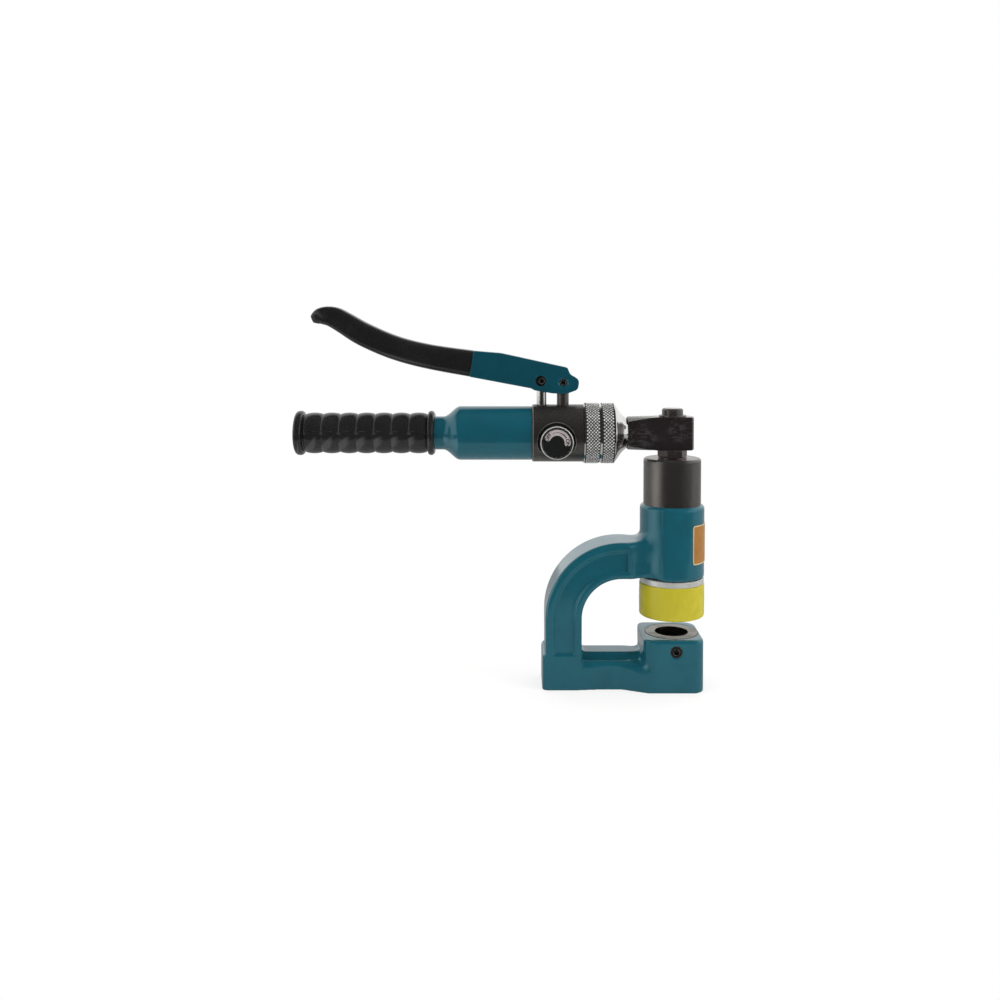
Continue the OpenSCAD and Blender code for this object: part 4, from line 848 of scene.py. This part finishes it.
def makeLabel(depth):
    look = labelLook
    middle, half = (look["inner"] + look["outer"]) / 2, (look["outer"] - look["inner"]) / 2
    points = []
    for radius, first, last, turn in ((look["outer"], look["from"], look["to"], 0),
            (look["inner"], look["to"], look["from"], 180)):
        points += [facePoint(depth, radius, first + (last - first) * t) for t in shares(look["steps"])]
        for t in shares(look["endSteps"])[1:-1]:
            a = math.radians(last + turn) - math.pi * t
            points.append(facePoint(depth, middle, last) + half * Vector((math.cos(a), 0, math.sin(a))))
    work = bmesh.new()
    sheet = work.faces.new([work.verts.new(p) for p in points])
    lifted = bmesh.ops.extrude_face_region(work, geom=[sheet])["geom"]
    verts = [v for v in lifted if isinstance(v, bmesh.types.BMVert)]
    bmesh.ops.translate(work, vec=(0, -look["thick"], 0), verts=verts)
    addPiece("dial_label", meshFrom(work, "dialLabel"), "release", labelPaper)
    top = depth - look["thick"]
    for name, text, angle in look["words"]:
        curve = bpy.data.curves.new(name, "FONT")
        curve.body, curve.size, curve.offset = text, look["letter"], look["bold"]
        curve.extrude = look["letterThick"]
        curve.align_x = curve.align_y = "CENTER"
        mesh = meshOfObject(linkObject(name + "Stand", curve))
        mesh.transform(Matrix.Translation(facePoint(top - look["letterLift"], middle, angle))
            @ Matrix.Rotation(math.radians(90 - angle), 4, "Y") @ Matrix.Rotation(math.pi / 2, 4, "X"))
        addPiece(name, mesh, "release", labelInk)
    work = bmesh.new()
    pairs = []
    for t in shares(look["wedgeSteps"]):
        angle = look["wedgeFrom"] + (look["wedgeTo"] - look["wedgeFrom"]) * t
        width = look["wedgeThin"] + look["wedgeGrow"] * t
        pairs.append([work.verts.new(facePoint(top - look["wedgeLift"], middle + aside, angle))
            for aside in (width / 2, -width / 2)])
    for here, ahead in zip(pairs, pairs[1:]):
        work.faces.new((here[0], ahead[0], ahead[1], here[1]))
    bmesh.ops.solidify(work, geom=work.faces, thickness=look["wedgeThick"])
    addPiece("dial_wedge", meshFrom(work, "dialWedge"), "release", labelInk)


# Nameplate: bare sheet curved round the head, with a pale rim; angles in degrees from the front
plateLook = sizes({"from": 30.5, "to": 106, "columns": 40, "rows": 24, "crisp": 40}, radius=27.55, low=107,
    high=140.2, corner=2.2, leastCorner=0.4, rim=1.0, thick=0.35, panelLift=0.06, panelThick=0.1)


def platePatch(name, inset, lift, thick, material):
    look = plateLook
    radius = look["radius"] + lift
    middle = math.radians((look["from"] + look["to"]) / 2)
    halfWide = radius * math.radians((look["to"] - look["from"]) / 2) - inset
    halfTall = (look["high"] - look["low"]) / 2 - inset
    centreZ = (look["high"] + look["low"]) / 2
    corner = max(look["corner"] - inset, look["leastCorner"])
    columns, rows = look["columns"], look["rows"]
    work = bmesh.new()
    grid = []
    for i in range(columns + 1):
        u = -halfWide + 2 * halfWide * i / columns
        reach = abs(u) - (halfWide - corner)
        trim = corner - math.sqrt(max(corner * corner - reach * reach, 0)) if reach > 0 else 0
        a = middle + u / radius
        grid.append([work.verts.new((radius * math.sin(a), -radius * math.cos(a),
            centreZ + (-1 + 2 * j / rows) * (halfTall - trim))) for j in range(rows + 1)])
    for i in range(columns):
        for j in range(rows):
            work.faces.new((grid[i][j], grid[i + 1][j], grid[i + 1][j + 1], grid[i][j + 1]))
    bmesh.ops.recalc_face_normals(work, faces=work.faces)
    bmesh.ops.solidify(work, geom=work.faces, thickness=thick)
    addPiece(name, meshFrom(work, name, look["crisp"]), "frame", material)


def makePlate():
    look = plateLook
    platePatch("nameplate_rim", 0, look["thick"], look["thick"], plateRim)
    platePatch("nameplate_panel", look["rim"], look["thick"] + look["panelLift"], look["panelThick"], plateOrange)


for make in (makeCasting, makeLever, makeForging, makeStud, makePins, makeSleeve, makeNut, makeGrip, makeReservoir,
        makeStripper, makeSpring, makeKnob, makePlate):
    make()
    print(make.__name__, "done:", len(bpy.data.meshes), "meshes")

# Finishes of the nodes that keep their CAD shape
nodeFinish = [
    (blackBarrel, "ram_cylinder"), (blackPump, "pump_block"), (blackFitting, "fulcrum_post"),
    (blackScrew, "die_set_screw"), (copper, "seal_washer"), (platedSteel, "punch_plate"),
    (bronze, "rod_guide", "plunger_gland"), (chrome, "swivel_nipple", "check_balls"), (chromeUpright, "ram", "plunger"),
    (groundSteel, "die", "punch", "check_springs", "check_seats", "release_spindle"),
    (sealRubber, "stud_o_rings", "rod_wiper", "piston_seal", "nipple_o_ring", "oil_bladder", "plunger_seal",
        "spindle_o_ring")]
for finish, *names in nodeFinish:
    for name in names:
        slots = frame["nodes"][name].data.materials
        slots.clear()
        slots.append(finish)
print("nodes finished")


# Studio: pale floor, white walls behind and beside the object, and a darker room on the camera's side and overhead
studioLook = {"floorSize": 6.0, "floor": "f2f2f0", "ambient": 0.38, "white": 1.0, "dark": 0.03, "nearGlow": 0.72,
    "farGlow": 1.0, "shadowSpan": (0.2, 0.14), "shadowCentre": (-0.06, 0.0, 0.0), "shadowFrom": 0.5, "shadowTo": 1.8,
    "mirrorFloor": 0.46, "tableEdge": -0.29, "edgeFade": 0.03, "roomTilt": (0.0, 1.0, -1.1),
    "roomSide": (0.9, 0.0, 0.0), "roomFrom": -0.45, "roomTo": 0.1}
pureWhite = (1, 1, 1, 1)


# Flat sheet with a material that has no nodes yet
def addSheet(name, materialName, wide, tall):
    x, y = wide / 2, tall / 2
    mesh = bpy.data.meshes.new(name)
    mesh.from_pydata([(-x, -y, 0), (x, -y, 0), (x, y, 0), (-x, y, 0)], [], [(0, 1, 2, 3)])
    material = bpy.data.materials.new(materialName)
    material.use_nodes = True
    material.node_tree.nodes.clear()
    mesh.materials.append(material)
    return linkObject(name, mesh), material.node_tree


# One for rays that show the surroundings in a reflection or through a clear piece
def mirrorRays(tree, path):
    return compute(tree, "MAXIMUM", path["Is Glossy Ray"], path["Is Transmission Ray"])


def makeFloor():
    look = studioLook
    floor, tree = addSheet("floor", "paleFloor", look["floorSize"], look["floorSize"])
    path, place = addNode(tree, "LightPath").outputs, placeIn(tree)
    spanX, spanY = look["shadowSpan"]
    # White far from the object, paper that takes a shadow close to it
    aside = computeVector(tree, "SUBTRACT", place, look["shadowCentre"])
    away = computeVector(tree, "LENGTH", computeVector(tree, "MULTIPLY", aside, (1 / spanX, 1 / spanY, 0)))
    share = spread(tree, away, look["shadowFrom"], look["shadowTo"], look["nearGlow"], look["farGlow"], "SMOOTHSTEP")
    matt = addNode(tree, "BsdfDiffuse", {"Color": tint(look["floor"])})
    glow = addNode(tree, "Emission", {"Color": pureWhite, "Strength": look["white"]})
    direct = mixShaders(tree, path["Is Camera Ray"], matt, mixShaders(tree, share, matt, glow))
    # In reflections the paper ends a little in front of the object
    depth = addNode(tree, "SeparateXYZ", {0: place}).outputs["Y"]
    fade = look["tableEdge"] - look["edgeFade"], look["tableEdge"]
    edge = spread(tree, depth, *fade, look["dark"], look["mirrorFloor"])
    mirrored = addNode(tree, "Emission", {"Color": pureWhite, "Strength": edge})
    addNode(tree, "OutputMaterial", {"Surface": mixShaders(tree, mirrorRays(tree, path), direct, mirrored)})


def makeWorld():
    look = studioLook
    world = bpy.data.worlds.new("studio")
    bpy.context.scene.world = world
    world.use_nodes = True
    tree = world.node_tree
    tree.nodes.clear()
    path, place = addNode(tree, "LightPath").outputs, placeIn(tree, "Generated")
    # Reflections see the walls and the dark room
    lean = computeVector(tree, "DOT_PRODUCT", place, look["roomTilt"])
    aside = computeVector(tree, "DOT_PRODUCT", computeVector(tree, "ABSOLUTE", place), look["roomSide"])
    walls = spread(tree, compute(tree, "ADD", lean, aside), look["roomFrom"], look["roomTo"], look["dark"],
        look["white"], "SMOOTHSTEP")
    ambient, white, mirrored = (addNode(tree, "Background", {"Color": pureWhite, "Strength": strength})
        for strength in (look["ambient"], look["white"], walls))
    first = mixShaders(tree, mirrorRays(tree, path), ambient, mirrored)
    addNode(tree, "OutputWorld", {"Surface": mixShaders(tree, path["Is Camera Ray"], first, white)})


# Soft boxes: place, target, width, height, watts
softBoxes = [("topBox", (-0.1, 0.15, 1.15), (-0.1, 0.0, 0.15), 1.3, 0.9, 15.0),
    ("leftBox", (-1.15, -0.55, 0.55), (-0.1, 0.0, 0.15), 0.7, 1.0, 4.8),
    ("rightBox", (0.95, -0.6, 0.6), (-0.05, 0.0, 0.15), 0.7, 1.0, 8.4)]


# Sets a thing down and turns one of its axes to a target
def aim(stand, place, target, axis):
    stand.location = place
    stand.rotation_euler = (Vector(target) - Vector(place)).to_track_quat(axis, "Y").to_euler()


def makeLights():
    for name, place, target, width, height, watts in softBoxes:
        lamp = bpy.data.lights.new(name, "AREA")
        lamp.shape = "RECTANGLE"
        lamp.size, lamp.size_y, lamp.energy = width, height, watts
        stand = linkObject(name, lamp)
        aim(stand, place, target, "-Z")
        stand.visible_glossy = stand.visible_camera = False


# Soft white card on the left that only reflections show
cardLook = {"place": (-0.312, -0.09, 0.086), "target": (-0.018, -0.02, 0.086), "wide": 0.38, "tall": 0.165, "peak": 1.3}


def makeCard():
    look = cardLook
    card, tree = addSheet("leftCard", "cardGlow", look["wide"], look["tall"])
    aim(card, look["place"], look["target"], "Z")
    across = compute(tree, "ABSOLUTE", addNode(tree, "SeparateXYZ", {0: placeIn(tree)}).outputs["X"])
    fade = spread(tree, across, 0.0, look["wide"] / 2, 1.0, 0.0, "SMOOTHSTEP")
    glow = addNode(tree, "Emission", {"Strength": look["peak"]})
    addNode(tree, "OutputMaterial", {"Surface": mixShaders(tree, fade, addNode(tree, "BsdfTransparent"), glow)})
    card.visible_camera = card.visible_diffuse = card.visible_shadow = card.visible_transmission = False


# Camera a little above the lever, looking slightly down
cameraLook = {"place": (-0.136, -0.850, 0.3024), "tilt": 88.0, "sensor": 36.0, "lens": 35.76, "shiftX": -0.0139,
    "shiftY": -0.1329, "clip": 0.01}


def makeCamera():
    look = cameraLook
    lensBox = bpy.data.cameras.new("camera")
    lensBox.sensor_width, lensBox.lens, lensBox.clip_start = look["sensor"], look["lens"], look["clip"]
    lensBox.shift_x, lensBox.shift_y = look["shiftX"], look["shiftY"]
    camera = linkObject("camera", lensBox)
    camera.location = look["place"]
    camera.rotation_euler = (math.radians(look["tilt"]), 0, 0)
    bpy.context.scene.camera = camera


makeFloor()
makeWorld()
makeLights()
makeCard()
makeCamera()
bpy.context.scene.view_settings.view_transform = "Standard"
print("studio ready")
